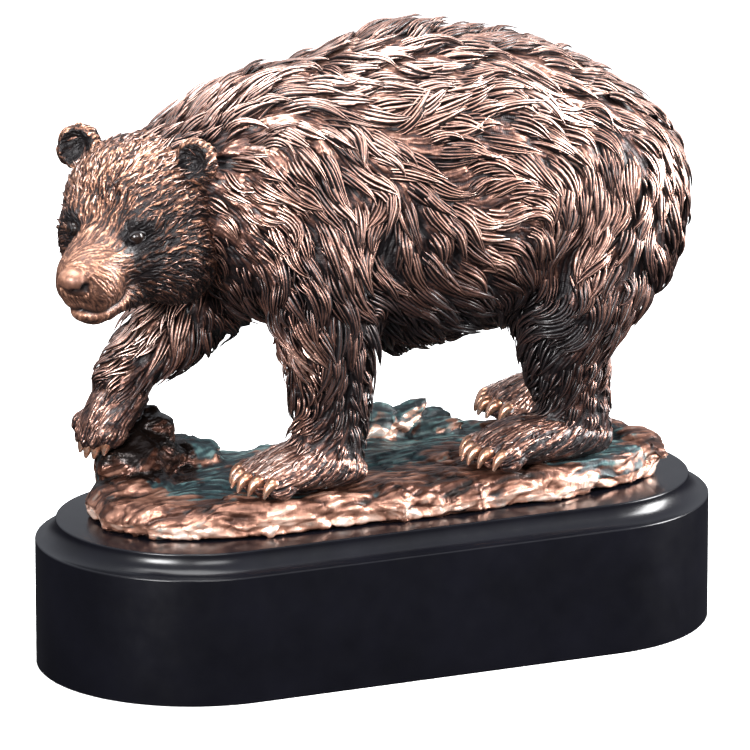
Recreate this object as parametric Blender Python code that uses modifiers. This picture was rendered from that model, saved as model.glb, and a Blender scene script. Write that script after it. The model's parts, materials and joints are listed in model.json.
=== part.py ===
"""Walking bear on rocky ground, cast in one in bronzed resin, on a black oblong plinth.

Metres, +Z up. The bear looks towards -X and turns its head to its left, which is -Y.
The origin is the middle of the plinth's underside.
"""

import math
import random

import bmesh
import bpy
import numpy as np
from mathutils import Euler, Matrix, Vector, noise
from mathutils.bvhtree import BVHTree

# Plinth
PLINTH_LENGTH = 0.216
PLINTH_WIDTH = 0.096
PLINTH_WALL_HEIGHT = 0.0394
MOULDING_RISE = 0.0062
MOULDING_INSET = 0.0062
TOP_LIP_HEIGHT = 0.0009
TOP_EDGE_RADIUS = 0.0005
WALL_EDGE_RADIUS = 0.0006
ROUND_END_STEPS = 28

# Ground
SEAT_GAP = 0.0003
GROUND_LENGTH = 0.184
GROUND_WIDTH = 0.068
GROUND_THICKNESS = 0.0100
GROUND_SLOPE = 0.0052
GROUND_RELIEF = 0.0014
GROUND_SWELLS = 70
OUTLINE_RELIEF = 0.0030
OUTLINE_SQUARENESS = 2.7
GROUND_LIP = 0.35
GROUND_TURNS = 120
GROUND_RINGS = 14
FOOT_INSET = (0.985, 0.97)
BOULDER_ROUGHNESS = 0.10
BOULDER_FLATS = 1.3
BOULDER_SWELLS = 1.8

# Bear. Its own measures are in shares of its height: UNIT is a 138th of it.
BEAR_HEIGHT = 0.138
UNIT = BEAR_HEIGHT / 138
HEAD_TURN = 37.5
HEAD_DROP = 24.0
HEAD_PLACE = (-81.0, -2.0, 88.0)

# Fur, in the bear's units: grooves pressed into the body, and raised locks laid on it
GROOVE_DEPTH = 1.2
GROOVE_WIDTH = 7.0
GROOVE_REACH = 9.0
GROOVE_SAMPLES = 7
GROOVE_GAIN = 0.75
SKIN_SINK = 1.2
SMOOTH_FACE = 14.0
FACE_FADE = 44.0
SMOOTH_FOOT = 9.0
FOOT_FADE = 14.0
LEAST_GROOVE = 0.1
SKULL_MIDDLE = (2.0, 0.0, -5.0)
HEAD_REACH = 26.0
LOCK_SEED = 5
LOCK_PICKS = 6000
LOCK_LOWEST = 22.0
LOCK_FROM_NOSE = 46.0
LOCK_DOWNWARD = -0.55
LOCK_SIDES = 8
LOCK_SPACING = 11.5
LOCK_STEP = 4.6
LOCK_WIDTH = 3.6
LOCK_HEIGHT = 1.6
LOCK_SHAPE = ((0.45, -0.9), (0.85, -0.1), (1.0, 0.35), (0.85, 0.7), (0.5, 1.0), (0.1, 1.1))

# Mesh fineness
FORM_VOXEL = 0.0016
CAST_VOXEL = 0.0011
CAST_TRIANGLES = 8200
SECTION_SIDES = 28
STEPS_BETWEEN_STATIONS = 5
SHARP_ANGLE = math.radians(32)

PLINTH_HEIGHT = PLINTH_WALL_HEIGHT + MOULDING_RISE
GROUND_BOTTOM = PLINTH_HEIGHT + SEAT_GAP
GROUND_TOP = GROUND_BOTTOM + GROUND_THICKNESS


def clear_scene():
    for old in list(bpy.data.objects):
        bpy.data.objects.remove(old)


def new_collection(name):
    collection = bpy.data.collections.new(name)
    bpy.context.scene.collection.children.link(collection)
    return collection


def new_material(name, colour, roughness, metallic):
    material = bpy.data.materials.new(name)
    material.use_nodes = True
    shader = material.node_tree.nodes["Principled BSDF"]
    shader.inputs["Base Color"].default_value = (*colour, 1.0)
    shader.inputs["Roughness"].default_value = roughness
    shader.inputs["Metallic"].default_value = metallic
    return material


def new_object(name, bm, collection):
    mesh = bpy.data.meshes.new(name)
    bm.to_mesh(mesh)
    bm.free()
    made = bpy.data.objects.new(name, mesh)
    collection.objects.link(made)
    return made


def baked_mesh(obj, name):
    """The object's mesh with its modifiers applied."""
    bpy.context.view_layer.update()
    graph = bpy.context.evaluated_depsgraph_get()
    mesh = bpy.data.meshes.new_from_object(obj.evaluated_get(graph))
    mesh.name = name
    return mesh


def smooth_through(stations, steps):
    """Rows between the stations, on a Catmull-Rom curve through all their numbers."""
    first = [2 * a - b for a, b in zip(stations[0], stations[1])]
    last = [2 * a - b for a, b in zip(stations[-1], stations[-2])]
    rows = [first, *stations, last]
    out = []
    for i in range(1, len(rows) - 2):
        before, start, end, after = rows[i - 1 : i + 3]
        for k in range(steps):
            t = k / steps
            out.append([
                0.5 * (2 * b + (c - a) * t + (2 * a - 5 * b + 4 * c - d) * t * t
                       + (3 * b - a - 3 * c + d) * t ** 3)
                for a, b, c, d in zip(before, start, end, after)
            ])
    out.append(list(rows[-2]))
    return out


def add_loft(bm, stations, place, upright=False):
    """A closed loft. A station is x, y, z, half width, half height above and half height below.

    Its sections stand square to the path or, where upright is set, all stand upright across X.
    A station with one half height has the same above and below.
    """
    rows = smooth_through([(*s, s[-1]) if len(s) == 5 else s for s in stations], STEPS_BETWEEN_STATIONS)
    centres = [Vector(r[:3]) for r in rows]
    rings = []
    for i, row in enumerate(rows):
        ahead = (centres[min(i + 1, len(rows) - 1)] - centres[max(i - 1, 0)]).normalized()
        across = Vector((0, 1, 0))
        up = Vector((0, 0, 1))
        if not upright:
            across = (across - across.dot(ahead) * ahead).normalized()
            up = ahead.cross(across)
        ring = []
        for k in range(SECTION_SIDES):
            angle = 2 * math.pi * k / SECTION_SIDES
            rise = math.sin(angle)
            height = row[4] if rise > 0 else row[5]
            ring.append(bm.verts.new(centres[i] + across * row[3] * math.cos(angle) + up * height * rise))
        rings.append(ring)
    for low, high in zip(rings, rings[1:]):
        for k in range(SECTION_SIDES):
            n = (k + 1) % SECTION_SIDES
            bm.faces.new((low[k], low[n], high[n], high[k]))
    tips = []
    for ring, centre, inner, row in (
        (rings[0], centres[0], centres[1], rows[0]),
        (rings[-1], centres[-1], centres[-2], rows[-1]),
    ):
        out = (centre - inner).normalized()
        tip = bm.verts.new(centre + out * 0.5 * min(row[3], row[4]))
        tips.append(tip)
        for k in range(SECTION_SIDES):
            bm.faces.new((ring[k], ring[(k + 1) % SECTION_SIDES], tip))
    made = [v for ring in rings for v in ring] + tips
    bmesh.ops.transform(bm, matrix=place, verts=made)
    bmesh.ops.recalc_face_normals(bm, faces=list({f for v in made for f in v.link_faces}))


def add_ball(bm, centre, radii, place=None, turn=(0, 0, 0)):
    """An ellipsoid, with its radii along its own turned axes."""
    place = place or Matrix.Identity(4)
    spin = Euler([math.radians(a) for a in turn]).to_matrix().to_4x4()
    size = Matrix.Diagonal((*radii, 1.0))
    bmesh.ops.create_icosphere(
        bm, subdivisions=3, radius=1.0, matrix=place @ Matrix.Translation(centre) @ spin @ size
    )


def figure_place():
    """From the bear's units, with z up from the ground, to metres."""
    return Matrix.Translation((0, 0, GROUND_TOP)) @ Matrix.Scale(UNIT, 4)


def head_place():
    """From the head's own units, +X to the nose and +Y to its far side, to metres."""
    turn = Matrix.Rotation(math.radians(180 + HEAD_TURN), 4, "Z")
    drop = Matrix.Rotation(math.radians(HEAD_DROP), 4, "Y")
    return figure_place() @ Matrix.Translation(HEAD_PLACE) @ turn @ drop


# Sections from rump to chest: x, y, z of the widest level, half width, height above, depth below.
TORSO = (
    (98.5, -2, 77, 11, 15, 20),
    (93, -1, 76, 21, 25, 29),
    (83, 0, 75, 29, 34.5, 34),
    (68, 0, 75, 34, 44.5, 37),
    (52, 0, 76, 36, 51, 36),
    (32, 0, 77, 37.5, 55, 38),
    (14, 0, 77, 38, 58.5, 42),
    (-4, 0, 78, 36.5, 55.5, 41),
    (-20, 0, 80, 34, 47.5, 38),
    (-36, 0, 84, 31.5, 42, 36),
    (-50, 1, 86, 26, 34.5, 31),
    (-62, 2, 87, 18, 24, 22),
)
NECK = (
    (-40, 0, 90, 27, 35, 33),
    (-52, 2, 89.5, 25, 31, 30),
    (-62, 4, 88.5, 21.5, 25.5, 26),
    (-72, 5, 87.5, 18, 22, 22),
    (-80, 5, 87, 13, 16.5, 16),
)

# Legs and feet, sections square to their path: x, y, z, half width, half depth.
NEAR_FORELEG = (
    (-24, -20, 88, 14, 24),
    (-26, -23, 66, 14, 21),
    (-26, -23, 48, 12, 16),
    (-25, -22, 34, 11, 14),
    (-24.5, -21, 22, 10, 13),
    (-25.5, -20, 12, 10, 12.5),
    (-27, -20, 5, 10, 13),
)
NEAR_FOREPAW = (
    (-15, -20, 4.5, 8, 4),
    (-24, -20, 7, 11, 7),
    (-34, -20, 7.5, 12, 7.5),
    (-43, -20.5, 6, 12.5, 6),
    (-49, -21, 4.5, 11, 4.2),
)
FAR_FORELEG = (
    (-36, 18, 82, 14, 23),
    (-42, 20, 64, 13, 20),
    (-51, 20, 50, 12, 16),
    (-63, 19, 40, 11, 12.5),
    (-73, 18, 33, 9.5, 9.5),
    (-79, 18, 26, 9, 8.5),
)
FAR_FOREPAW = (
    (-73, 18, 27, 8.5, 7.5),
    (-78, 17.5, 22, 9.5, 7.5),
    (-82.5, 17, 16, 10, 6.5),
    (-85.5, 17, 11, 8.5, 4.5),
)
NEAR_HIND_LEG = (
    (66, -14, 84, 20, 29),
    (63, -20, 66, 18, 26.5),
    (56, -23, 48, 14.5, 19.5),
    (53.5, -22, 34, 11.5, 15.5),
    (56.5, -20.5, 22, 9.5, 13),
    (59, -20, 12, 9, 10.5),
    (59, -20, 5, 8.5, 10),
)
NEAR_HIND_FOOT = (
    (68, -20, 5, 6, 4.5),
    (61, -20, 6.5, 9, 6.5),
    (50, -20.5, 7.2, 10.5, 7.2),
    (38, -21, 7, 11.8, 7),
    (30, -21.5, 5.6, 11.5, 5.6),
    (26, -22, 4.4, 9, 4),
)
FAR_HIND_LEG = (
    (74, 14, 82, 18, 24),
    (74, 20, 64, 16, 23),
    (71, 22, 46, 13.5, 18),
    (72, 21, 32, 11, 14),
    (77, 20, 20, 9, 11),
    (80, 20, 10, 8.5, 9.5),
    (80, 20, 5, 8.5, 9),
)
FAR_HIND_FOOT = (
    (87, 20, 5.5, 6, 4.5),
    (80, 20, 7, 9, 6.5),
    (70, 20, 8, 10.5, 7.4),
    (61, 20.5, 8, 11.5, 7),
    (54, 21, 7, 11, 5.6),
    (50, 21, 6, 8.5, 4.2),
)

# Locks that stand clear of the outline: root, tip, radius at the root.
TUFTS = (
    ((-20, -22, 46), (-9.5, -21, 34), 4.6),
    ((-19, -22, 37), (-9.5, -20, 27), 4.2),
    ((-44, 18, 52), (-41, 16, 40), 4.6),
    ((-56, 17, 42), (-52, 15, 32.5), 4.2),
    ((-63, 17, 38), (-58.5, 16, 29.5), 3.8),
    ((-2, -9, 44), (6, -10, 35.0), 5.5),
    ((4, 9, 44), (12, 8, 36.5), 5.5),
    ((40, -16, 46), (46, -18, 35), 5.0),
    ((62, -21, 28), (71, -20, 22), 3.8),
)

# In the head's own units: +X to the nose, +Z up.
SKULL = (
    (-23, 0, -3, 14, 13),
    (-16, 0, -3, 21.5, 19),
    (-7, 0, -4, 24, 22),
    (1, 0, -5, 22.6, 21.3),
    (7, 0, -5.5, 19, 18.8),
    (12, 0, -5, 15.4, 15),
    (17, 0, -4, 12.4, 11),
    (22, 0, -3, 10.6, 9),
    (28, 0, -2.3, 9.6, 8),
    (33, 0, -2, 8.6, 7.2),
    (36, 0, -2, 6.3, 5.6),
)
JAW = (
    (-2, 0, -18, 15, 10),
    (11, 0, -18.5, 12, 8.5),
    (22, 0, -16.2, 9.2, 5.6),
    (29, 0, -15.0, 7.4, 5.2),
    (34, 0, -13.2, 5.4, 4.0),
)
EAR_PLACE = (-10, 20, 12.5)
EAR_TURN = (30, -6, 24)
EAR_SIZE = (3.4, 7.2, 7.0)
NOSE_PLACE = (36.8, 0, 1.6)
NOSE_SIZE = (3.4, 5.0, 3.9)
EYE_PLACE = (15.2, 10.6, 2.0)
EYE_SIZE = (2.2, 2.2, 2.0)
EAR_HOLLOW_SHARE = 0.72
EAR_HOLLOW_DEPTH = 1.5
EAR_BEND = 0.25

# Rounded masses on either side: place, radii and turn in degrees. The y is given for the far side.
SHOULDER = ((-34, 17, 86), (22, 15, 31), (-8, 0, 0))
HAUNCH = ((67, 15, 75), (24, 20, 33), (-6, 0, 0))
RUFF = ((0, 11, -13), (15, 14.5, 19), (0, 0, 0))
BROW = ((9.5, 9.6, 5.2), (6.8, 6.2, 4.5), (0, 30, 12))
UPPER_LIP = ((28.5, 4.4, -5), (7.6, 5.4, 5.6), (0, 0, 0))

# The way the fur lies, seen from the side: x, z and the direction there.
FUR_WAYS = (
    (-72, 108, 1.0, 0.1), (-55, 115, 1.0, 0.15), (-56, 96, 0.8, -0.6), (-62, 76, 0.4, -0.9),
    (-30, 122, 1.0, -0.1), (-32, 98, 0.65, -0.75), (-14, 108, 0.9, -0.4), (-28, 72, 0.3, -0.95),
    (-26, 46, 0.2, -1.0), (-26, 22, 0.0, -1.0), (-40, 7, -1.0, -0.15), (-50, 52, -0.2, -1.0),
    (-72, 32, -0.6, -0.8), (0, 126, 1.0, 0.1), (30, 128, 1.0, -0.1), (62, 116, 0.9, -0.4),
    (86, 100, 0.6, -0.8), (4, 92, 0.8, -0.6), (32, 94, 0.9, -0.45), (0, 64, 0.5, -0.85),
    (26, 62, 0.6, -0.8), (14, 42, 0.8, -0.6), (56, 94, 0.4, -0.9), (76, 84, -0.1, -1.0),
    (58, 66, -0.4, -0.9), (44, 50, -0.3, -0.95), (92, 74, -0.15, -1.0), (57, 30, 0.15, -1.0),
    (62, 14, 0.0, -1.0), (42, 8, -1.0, -0.15), (66, 9, -1.0, -0.15),
)
WAY_SPREAD = 15.0


def body_forms():
    """The large forms: trunk, neck, legs, feet, and the head down to the muzzle."""
    bm = bmesh.new()
    place = figure_place()
    add_loft(bm, TORSO, place, upright=True)
    add_loft(bm, NECK, place, upright=True)
    for stations in (NEAR_FORELEG, FAR_FORELEG, NEAR_HIND_LEG, FAR_HIND_LEG):
        add_loft(bm, stations, place)
    for stations in (NEAR_FOREPAW, FAR_FOREPAW, NEAR_HIND_FOOT, FAR_HIND_FOOT):
        add_loft(bm, stations, place)
    for root, tip, radius in TUFTS:
        add_tuft(bm, root, tip, radius, place)
    head = head_place()
    add_loft(bm, SKULL, head)
    add_loft(bm, JAW, head)
    for side in (-1, 1):
        for mass in (SHOULDER, HAUNCH):
            add_mass(bm, mass, side, place)
        for mass in (RUFF, BROW, UPPER_LIP):
            add_mass(bm, mass, side, head)
    return bm


def add_mass(bm, mass, side, place):
    """The ball of one side: side is 1 for the far side and -1 for its mirror image."""
    (x, y, z), radii, (roll, pitch, yaw) = mass
    add_ball(bm, (x, side * y, z), radii, place, (side * roll, pitch, side * yaw))


def add_tuft(bm, root, tip, radius, place):
    """A lock of hair: a flat tapered loft that bends a little down on its way."""
    root, tip = Vector(root), Vector(tip)
    bend = Vector((0, 0, -0.12)) * (tip - root).length
    stations = []
    for share, width in ((0.0, 1.0), (0.35, 0.95), (0.7, 0.6), (1.0, 0.18)):
        centre = root.lerp(tip, share) + bend * 4 * share * (1 - share)
        stations.append((*centre, radius * width, 0.75 * radius * width))
    add_loft(bm, stations, place)


def fur_ways(points):
    """The direction of the fur at each point, both in the bear's units."""
    guides = np.array(FUR_WAYS)
    gap = (points[:, None, [0, 2]] - guides[None, :, :2]) / WAY_SPREAD
    weight = np.exp(-(gap ** 2).sum(2)) + 1e-9
    way = (weight @ guides[:, 2:]) / weight.sum(1)[:, None]
    ways = np.stack([way[:, 0], np.zeros(len(points)), way[:, 1]], 1)
    to_units = figure_place().inverted() @ head_place()
    nose = np.array(to_units @ Vector(NOSE_PLACE))
    skull = np.array(to_units @ Vector(SKULL_MIDDLE))
    near_head = np.exp(-(((points - skull) ** 2).sum(1) / HEAD_REACH ** 2) ** 3)[:, None]
    back = points - nose
    back /= np.linalg.norm(back, axis=1)[:, None] + 1e-9
    ways = ways * (1 - near_head) + back * near_head
    return ways / (np.linalg.norm(ways, axis=1)[:, None] + 1e-9)


def groove_depth_at(points):
    """How deep the fur's grooves may be: shallow on the head, none at the muzzle and on the toes."""
    to_units = figure_place().inverted() @ head_place()
    nose = np.array(to_units @ Vector(NOSE_PLACE))
    from_nose = np.linalg.norm(points - nose, axis=1)
    from_face = np.clip((from_nose - SMOOTH_FACE) / FACE_FADE, 0, 1)
    from_ground = np.clip((points[:, 2] - SMOOTH_FOOT) / FOOT_FADE, LEAST_GROOVE, 1)
    return GROOVE_DEPTH * np.minimum(from_face, from_ground)


def comb(mesh):
    """Presses grooves into the mesh, noise drawn out along the fur, and sinks the skin under the locks."""
    count = len(mesh.vertices)
    places = np.empty(3 * count)
    normals = np.empty(3 * count)
    mesh.vertices.foreach_get("co", places)
    mesh.vertices.foreach_get("normal", normals)
    normals = normals.reshape(-1, 3)
    points = (places.reshape(-1, 3) - (0, 0, GROUND_TOP)) / UNIT
    ways = fur_ways(points)
    ways -= (ways * normals).sum(1)[:, None] * normals
    ways /= np.linalg.norm(ways, axis=1)[:, None] + 1e-9
    swell = np.zeros(count)
    for share in np.linspace(-1, 1, GROOVE_SAMPLES):
        drawn = (points + ways * share * GROOVE_REACH) / GROOVE_WIDTH
        swell += [noise.noise(Vector(p)) for p in drawn]
    swell = np.clip(swell * GROOVE_GAIN, -1, 1)
    points += normals * ((swell - SKIN_SINK) * groove_depth_at(points))[:, None]
    places = points * UNIT + (0, 0, GROUND_TOP)
    mesh.vertices.foreach_set("co", places.ravel())
    mesh.update()


def lock_roots(mesh):
    """Where the raised locks start: spread evenly, and off the face, the feet and the belly."""
    nose = figure_place().inverted() @ head_place() @ Vector(NOSE_PLACE)
    picks = random.Random(LOCK_SEED).sample(range(len(mesh.vertices)), LOCK_PICKS)
    roots = []
    for index in picks:
        vertex = mesh.vertices[index]
        point = (vertex.co - Vector((0, 0, GROUND_TOP))) / UNIT
        if point.z < LOCK_LOWEST or (point - nose).length < LOCK_FROM_NOSE:
            continue
        if vertex.normal.z < LOCK_DOWNWARD:
            continue
        if all((point - other).length_squared > LOCK_SPACING ** 2 for other in roots):
            roots.append(point)
    return roots


def add_locks(bm, mesh):
    """Raised locks of fur. Each follows the way of the fur over the body and lifts at its tip."""
    body = bmesh.new()
    body.from_mesh(mesh)
    bmesh.ops.transform(body, matrix=figure_place().inverted(), verts=body.verts)
    tree = BVHTree.FromBMesh(body)
    body.free()
    made = []
    for root in lock_roots(mesh):
        point, normal, _, _ = tree.find_nearest(root)
        rings = []
        for width, lift in LOCK_SHAPE:
            way = Vector(fur_ways(np.array([point]))[0])
            way = (way - way.dot(normal) * normal).normalized()
            across = way.cross(normal)
            centre = point + normal * lift * LOCK_HEIGHT
            ring = []
            for k in range(LOCK_SIDES):
                angle = 2 * math.pi * k / LOCK_SIDES
                reach = across * LOCK_WIDTH * math.cos(angle) + normal * LOCK_HEIGHT * math.sin(angle)
                ring.append(bm.verts.new(centre + reach * width))
            rings.append(ring)
            point, normal, _, _ = tree.find_nearest(point + way * LOCK_STEP)
        for low, high in zip(rings, rings[1:]):
            for k in range(LOCK_SIDES):
                n = (k + 1) % LOCK_SIDES
                bm.faces.new((low[k], low[n], high[n], high[k]))
        bm.faces.new(list(reversed(rings[0])))
        bm.faces.new(rings[-1])
        made += [v for ring in rings for v in ring]
    bmesh.ops.transform(bm, matrix=figure_place(), verts=made)
    bmesh.ops.recalc_face_normals(bm, faces=list({f for v in made for f in v.link_faces}))


def add_claw(bm, root, tip, radius, place):
    """A claw as a cone from its root to its tip."""
    start, end = place @ Vector(root), place @ Vector(tip)
    length = (end - start).length
    turn = (end - start).to_track_quat("Z", "Y").to_matrix().to_4x4()
    bmesh.ops.create_cone(
        bm, cap_ends=True, segments=10, radius1=radius * UNIT, radius2=CLAW_TIP_SHARE * radius * UNIT,
        depth=length, matrix=Matrix.Translation((start + end) / 2) @ turn,
    )


# Paw: the middle of its toe line, the way the toes point, the drop of the claws, its half width.
PAWS = (
    ((-48.5, -21, 4.6), (-1, -0.12, 0), 3.4, 10.0),
    ((27, -22, 4.8), (-1, -0.1, 0), 3.6, 9.8),
    ((51, 21, 6.4), (-1, 0.05, 0), 3.4, 9.4),
    ((-85, 17, 12.5), (-0.5, -0.05, -0.86), 1.0, 8.6),
)
TOES = 5
TOE_SIZE = (4.6, 2.75, 3.9)
TOE_ARC = 3.2
CLAW_START = 2.6
CLAW_RISE = 1.2
CLAW_LENGTH = 5.2
CLAW_RADIUS = 1.25
CLAW_TIP_SHARE = 0.25


def add_toes(bm, place):
    for centre, way, drop, half in PAWS:
        ahead = Vector(way).normalized()
        across = Vector((0, 0, 1)).cross(ahead).normalized()
        for k in range(TOES):
            share = 2 * k / (TOES - 1) - 1
            knuckle = Vector(centre) + across * share * half - ahead * TOE_ARC * share * share
            spin = (0, 0, math.degrees(math.atan2(ahead.y, ahead.x)))
            add_ball(bm, knuckle, TOE_SIZE, place, spin)
            root = knuckle + ahead * CLAW_START + Vector((0, 0, CLAW_RISE))
            add_claw(bm, root, root + ahead * CLAW_LENGTH - Vector((0, 0, drop)), CLAW_RADIUS, place)


def add_ears(bm, head):
    """Each ear is a round cupped shell, made from a flat ball with its hollow pressed in."""
    for side in (-1, 1):
        ear = bmesh.new()
        bmesh.ops.create_icosphere(ear, subdivisions=4, radius=1.0)
        for v in ear.verts:
            rim = math.hypot(v.co.y, v.co.z)
            hollow = max(0.0, 1 - (rim / EAR_HOLLOW_SHARE) ** 2)
            if v.co.x > 0:
                v.co.x -= EAR_HOLLOW_DEPTH * hollow
            v.co.x -= EAR_BEND * rim
        roll, pitch, yaw = (math.radians(a) for a in EAR_TURN)
        turn = Euler((-side * roll, pitch, side * yaw)).to_matrix().to_4x4()
        spot = Matrix.Translation((EAR_PLACE[0], side * EAR_PLACE[1], EAR_PLACE[2]))
        ear.transform(head @ spot @ turn @ Matrix.Diagonal((*EAR_SIZE, 1.0)))
        take_over(bm, ear)


def take_over(bm, other):
    """Adds the other mesh's faces to this one."""
    mesh = bpy.data.meshes.new("part")
    other.to_mesh(mesh)
    other.free()
    bm.from_mesh(mesh)
    bpy.data.meshes.remove(mesh)


def small_forms():
    """Ears, nose, toes and claws, kept crisp by being added after the body is smoothed."""
    bm = bmesh.new()
    head = head_place()
    add_ears(bm, head)
    add_ball(bm, NOSE_PLACE, NOSE_SIZE, head, (0, 18, 0))
    for side in (-1, 1):
        add_ball(bm, (EYE_PLACE[0], side * EYE_PLACE[1], EYE_PLACE[2]), EYE_SIZE, head)
    add_toes(bm, figure_place())
    return bm


def ground_outline(angle):
    """The ground's edge at that angle, an oblong with a broken line."""
    power = OUTLINE_SQUARENESS
    c, s = math.cos(angle), math.sin(angle)
    reach = (abs(2 * c / GROUND_LENGTH) ** power + abs(2 * s / GROUND_WIDTH) ** power) ** (-1 / power)
    rough = noise.noise(Vector((3 * c, 3 * s, 5.0))) + 0.5 * noise.noise(Vector((9 * c, 9 * s, 1.0)))
    return reach + OUTLINE_RELIEF * rough


def add_ground(bm):
    """A low slab of rock: flat below, rolling on top, with a rough sloping edge."""
    loops = []
    for j in range(GROUND_RINGS + 1):
        share = 1 - j / (GROUND_RINGS + 1)
        loop = []
        for k in range(GROUND_TURNS):
            angle = 2 * math.pi * k / GROUND_TURNS
            edge = ground_outline(angle)
            reach = edge * share if j else edge
            x, y = reach * math.cos(angle), reach * math.sin(angle)
            inward = edge - reach
            rise = min(1.0, inward / GROUND_SLOPE)
            z = GROUND_BOTTOM + GROUND_THICKNESS * (GROUND_LIP + (1 - GROUND_LIP) * math.sqrt(rise))
            z += GROUND_RELIEF * noise.noise(Vector((x, y, 0)) * GROUND_SWELLS)
            loop.append(bm.verts.new((x, y, z)))
        loops.append(loop)
    shrink_x, shrink_y = FOOT_INSET
    foot = [bm.verts.new((v.co.x * shrink_x, v.co.y * shrink_y, GROUND_BOTTOM)) for v in loops[0]]
    for low, high in zip([foot, *loops], loops):
        for k in range(GROUND_TURNS):
            n = (k + 1) % GROUND_TURNS
            bm.faces.new((low[k], low[n], high[n], high[k]))
    middle = bm.verts.new((0, 0, GROUND_TOP))
    for k in range(GROUND_TURNS):
        bm.faces.new((loops[-1][k], loops[-1][(k + 1) % GROUND_TURNS], middle))
    bm.faces.new(list(reversed(foot)))


# Boulder: centre in units, radii, turn in degrees.
BOULDERS = (
    ((-71, 16, 4), (14, 12, 12), (10, -14, 20)),
    ((-66, 17, 13), (6.5, 8, 6.5), (0, 20, 10)),
    ((-76, 6, -3), (11, 13, 7), (0, 0, 30)),
    ((-52, 24, 1), (12, 8, 6), (0, 10, -12)),
    ((13, 24, 2), (10, 6, 7.5), (0, 16, 12)),
    ((24, 27, 0), (14, 6, 6), (0, -6, 0)),
    ((82, -4, -3), (9, 18, 5.5), (0, 0, 10)),
    ((20, 4, -4), (30, 16, 5), (0, 0, 0)),
)


def add_boulders(bm, place):
    for index, (centre, radii, turn) in enumerate(BOULDERS):
        ball = bmesh.new()
        bmesh.ops.create_icosphere(ball, subdivisions=4, radius=1.0)
        for v in ball.verts:
            flats = noise.cell(v.co * BOULDER_FLATS + Vector((index, 0, 0)))
            swells = noise.noise(v.co * BOULDER_SWELLS + Vector((0, index, 0)))
            v.co *= 1 + BOULDER_ROUGHNESS * (flats + swells)
        spin = Euler([math.radians(a) for a in turn]).to_matrix().to_4x4()
        ball.transform(place @ Matrix.Translation(centre) @ spin @ Matrix.Diagonal((*radii, 1.0)))
        take_over(bm, ball)


def add_modifiers(obj, voxel, smoothing):
    remesh = obj.modifiers.new("Fuse", "REMESH")
    remesh.mode = "VOXEL"
    remesh.voxel_size = voxel
    smooth = obj.modifiers.new("Soften", "SMOOTH")
    smooth.factor = 0.5
    smooth.iterations = smoothing


def make_cast(collection, helpers, material):
    """The bear and the ground in one casting."""
    body = new_object("body_forms", body_forms(), helpers)
    add_modifiers(body, FORM_VOXEL, 9)
    combed = baked_mesh(body, "combed_body")
    comb(combed)
    bm = small_forms()
    add_locks(bm, combed)
    bm.from_mesh(combed)
    add_ground(bm)
    add_boulders(bm, figure_place())
    fused = new_object("fused_forms", bm, helpers)
    add_modifiers(fused, CAST_VOXEL, 2)
    mesh = baked_mesh(fused, "bear_on_rock")
    for v in mesh.vertices:
        v.co.z = max(v.co.z, GROUND_BOTTOM)
    mesh.shade_smooth()
    cast = bpy.data.objects.new("bear_on_rock", mesh)
    collection.objects.link(cast)
    thin = cast.modifiers.new("Thin out", "DECIMATE")
    thin.ratio = CAST_TRIANGLES / (2 * len(mesh.polygons))
    cast.data.materials.append(material)
    return cast


def stadium_loop(bm, inset, z):
    """A closed loop round the plinth's outline, moved in by inset."""
    radius = PLINTH_WIDTH / 2
    reach = PLINTH_LENGTH / 2 - radius
    loop = []
    for end in (1, -1):
        for k in range(ROUND_END_STEPS + 1):
            angle = math.pi * (k / ROUND_END_STEPS - 0.5) + (0 if end > 0 else math.pi)
            x = end * reach + (radius - inset) * math.cos(angle)
            loop.append(bm.verts.new((x, (radius - inset) * math.sin(angle), z)))
    edges = [bm.edges.new((a, b)) for a, b in zip(loop, [*loop[1:], loop[0]])]
    return loop, edges


def moulding_profile():
    """Inset and height up the plinth's side: wall, crisp edge, sloping shoulder, cove, lip and rim."""
    cove_inset, cove_rise = 0.80 * MOULDING_INSET, 0.50 * MOULDING_RISE
    lip = PLINTH_HEIGHT - TOP_LIP_HEIGHT - TOP_EDGE_RADIUS
    rows = [(0.0, 0.0), (0.0, PLINTH_WALL_HEIGHT - WALL_EDGE_RADIUS)]
    rows.append((0.3 * WALL_EDGE_RADIUS, PLINTH_WALL_HEIGHT - 0.3 * WALL_EDGE_RADIUS))
    for k in range(5):
        turn = math.radians(90 * k / 4)
        inset = WALL_EDGE_RADIUS + (cove_inset - WALL_EDGE_RADIUS) * math.sin(turn * 0.98)
        rows.append((inset, PLINTH_WALL_HEIGHT + cove_rise * (1 - math.cos(turn))))
    for k in range(1, 5):
        turn = math.radians(90 * k / 4)
        inset = cove_inset + (MOULDING_INSET - cove_inset) * math.sin(turn)
        rows.append((inset, PLINTH_WALL_HEIGHT + cove_rise + (lip - PLINTH_WALL_HEIGHT - cove_rise) * k / 4))
    rows.append((MOULDING_INSET, lip + TOP_LIP_HEIGHT))
    rows.append((MOULDING_INSET + TOP_EDGE_RADIUS, PLINTH_HEIGHT))
    return rows


def make_plinth(collection, material):
    bm = bmesh.new()
    loops = [stadium_loop(bm, inset, z) for inset, z in moulding_profile()]
    for (_, low), (_, high) in zip(loops, loops[1:]):
        bmesh.ops.bridge_loops(bm, edges=[*low, *high])
    bm.faces.new(list(reversed(loops[0][0])))
    bm.faces.new(loops[-1][0])
    bmesh.ops.recalc_face_normals(bm, faces=bm.faces)
    plinth = new_object("plinth", bm, collection)
    plinth.data.shade_smooth()
    plinth.data.set_sharp_from_angle(angle=SHARP_ANGLE)
    plinth.data.materials.append(material)
    return plinth


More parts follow.
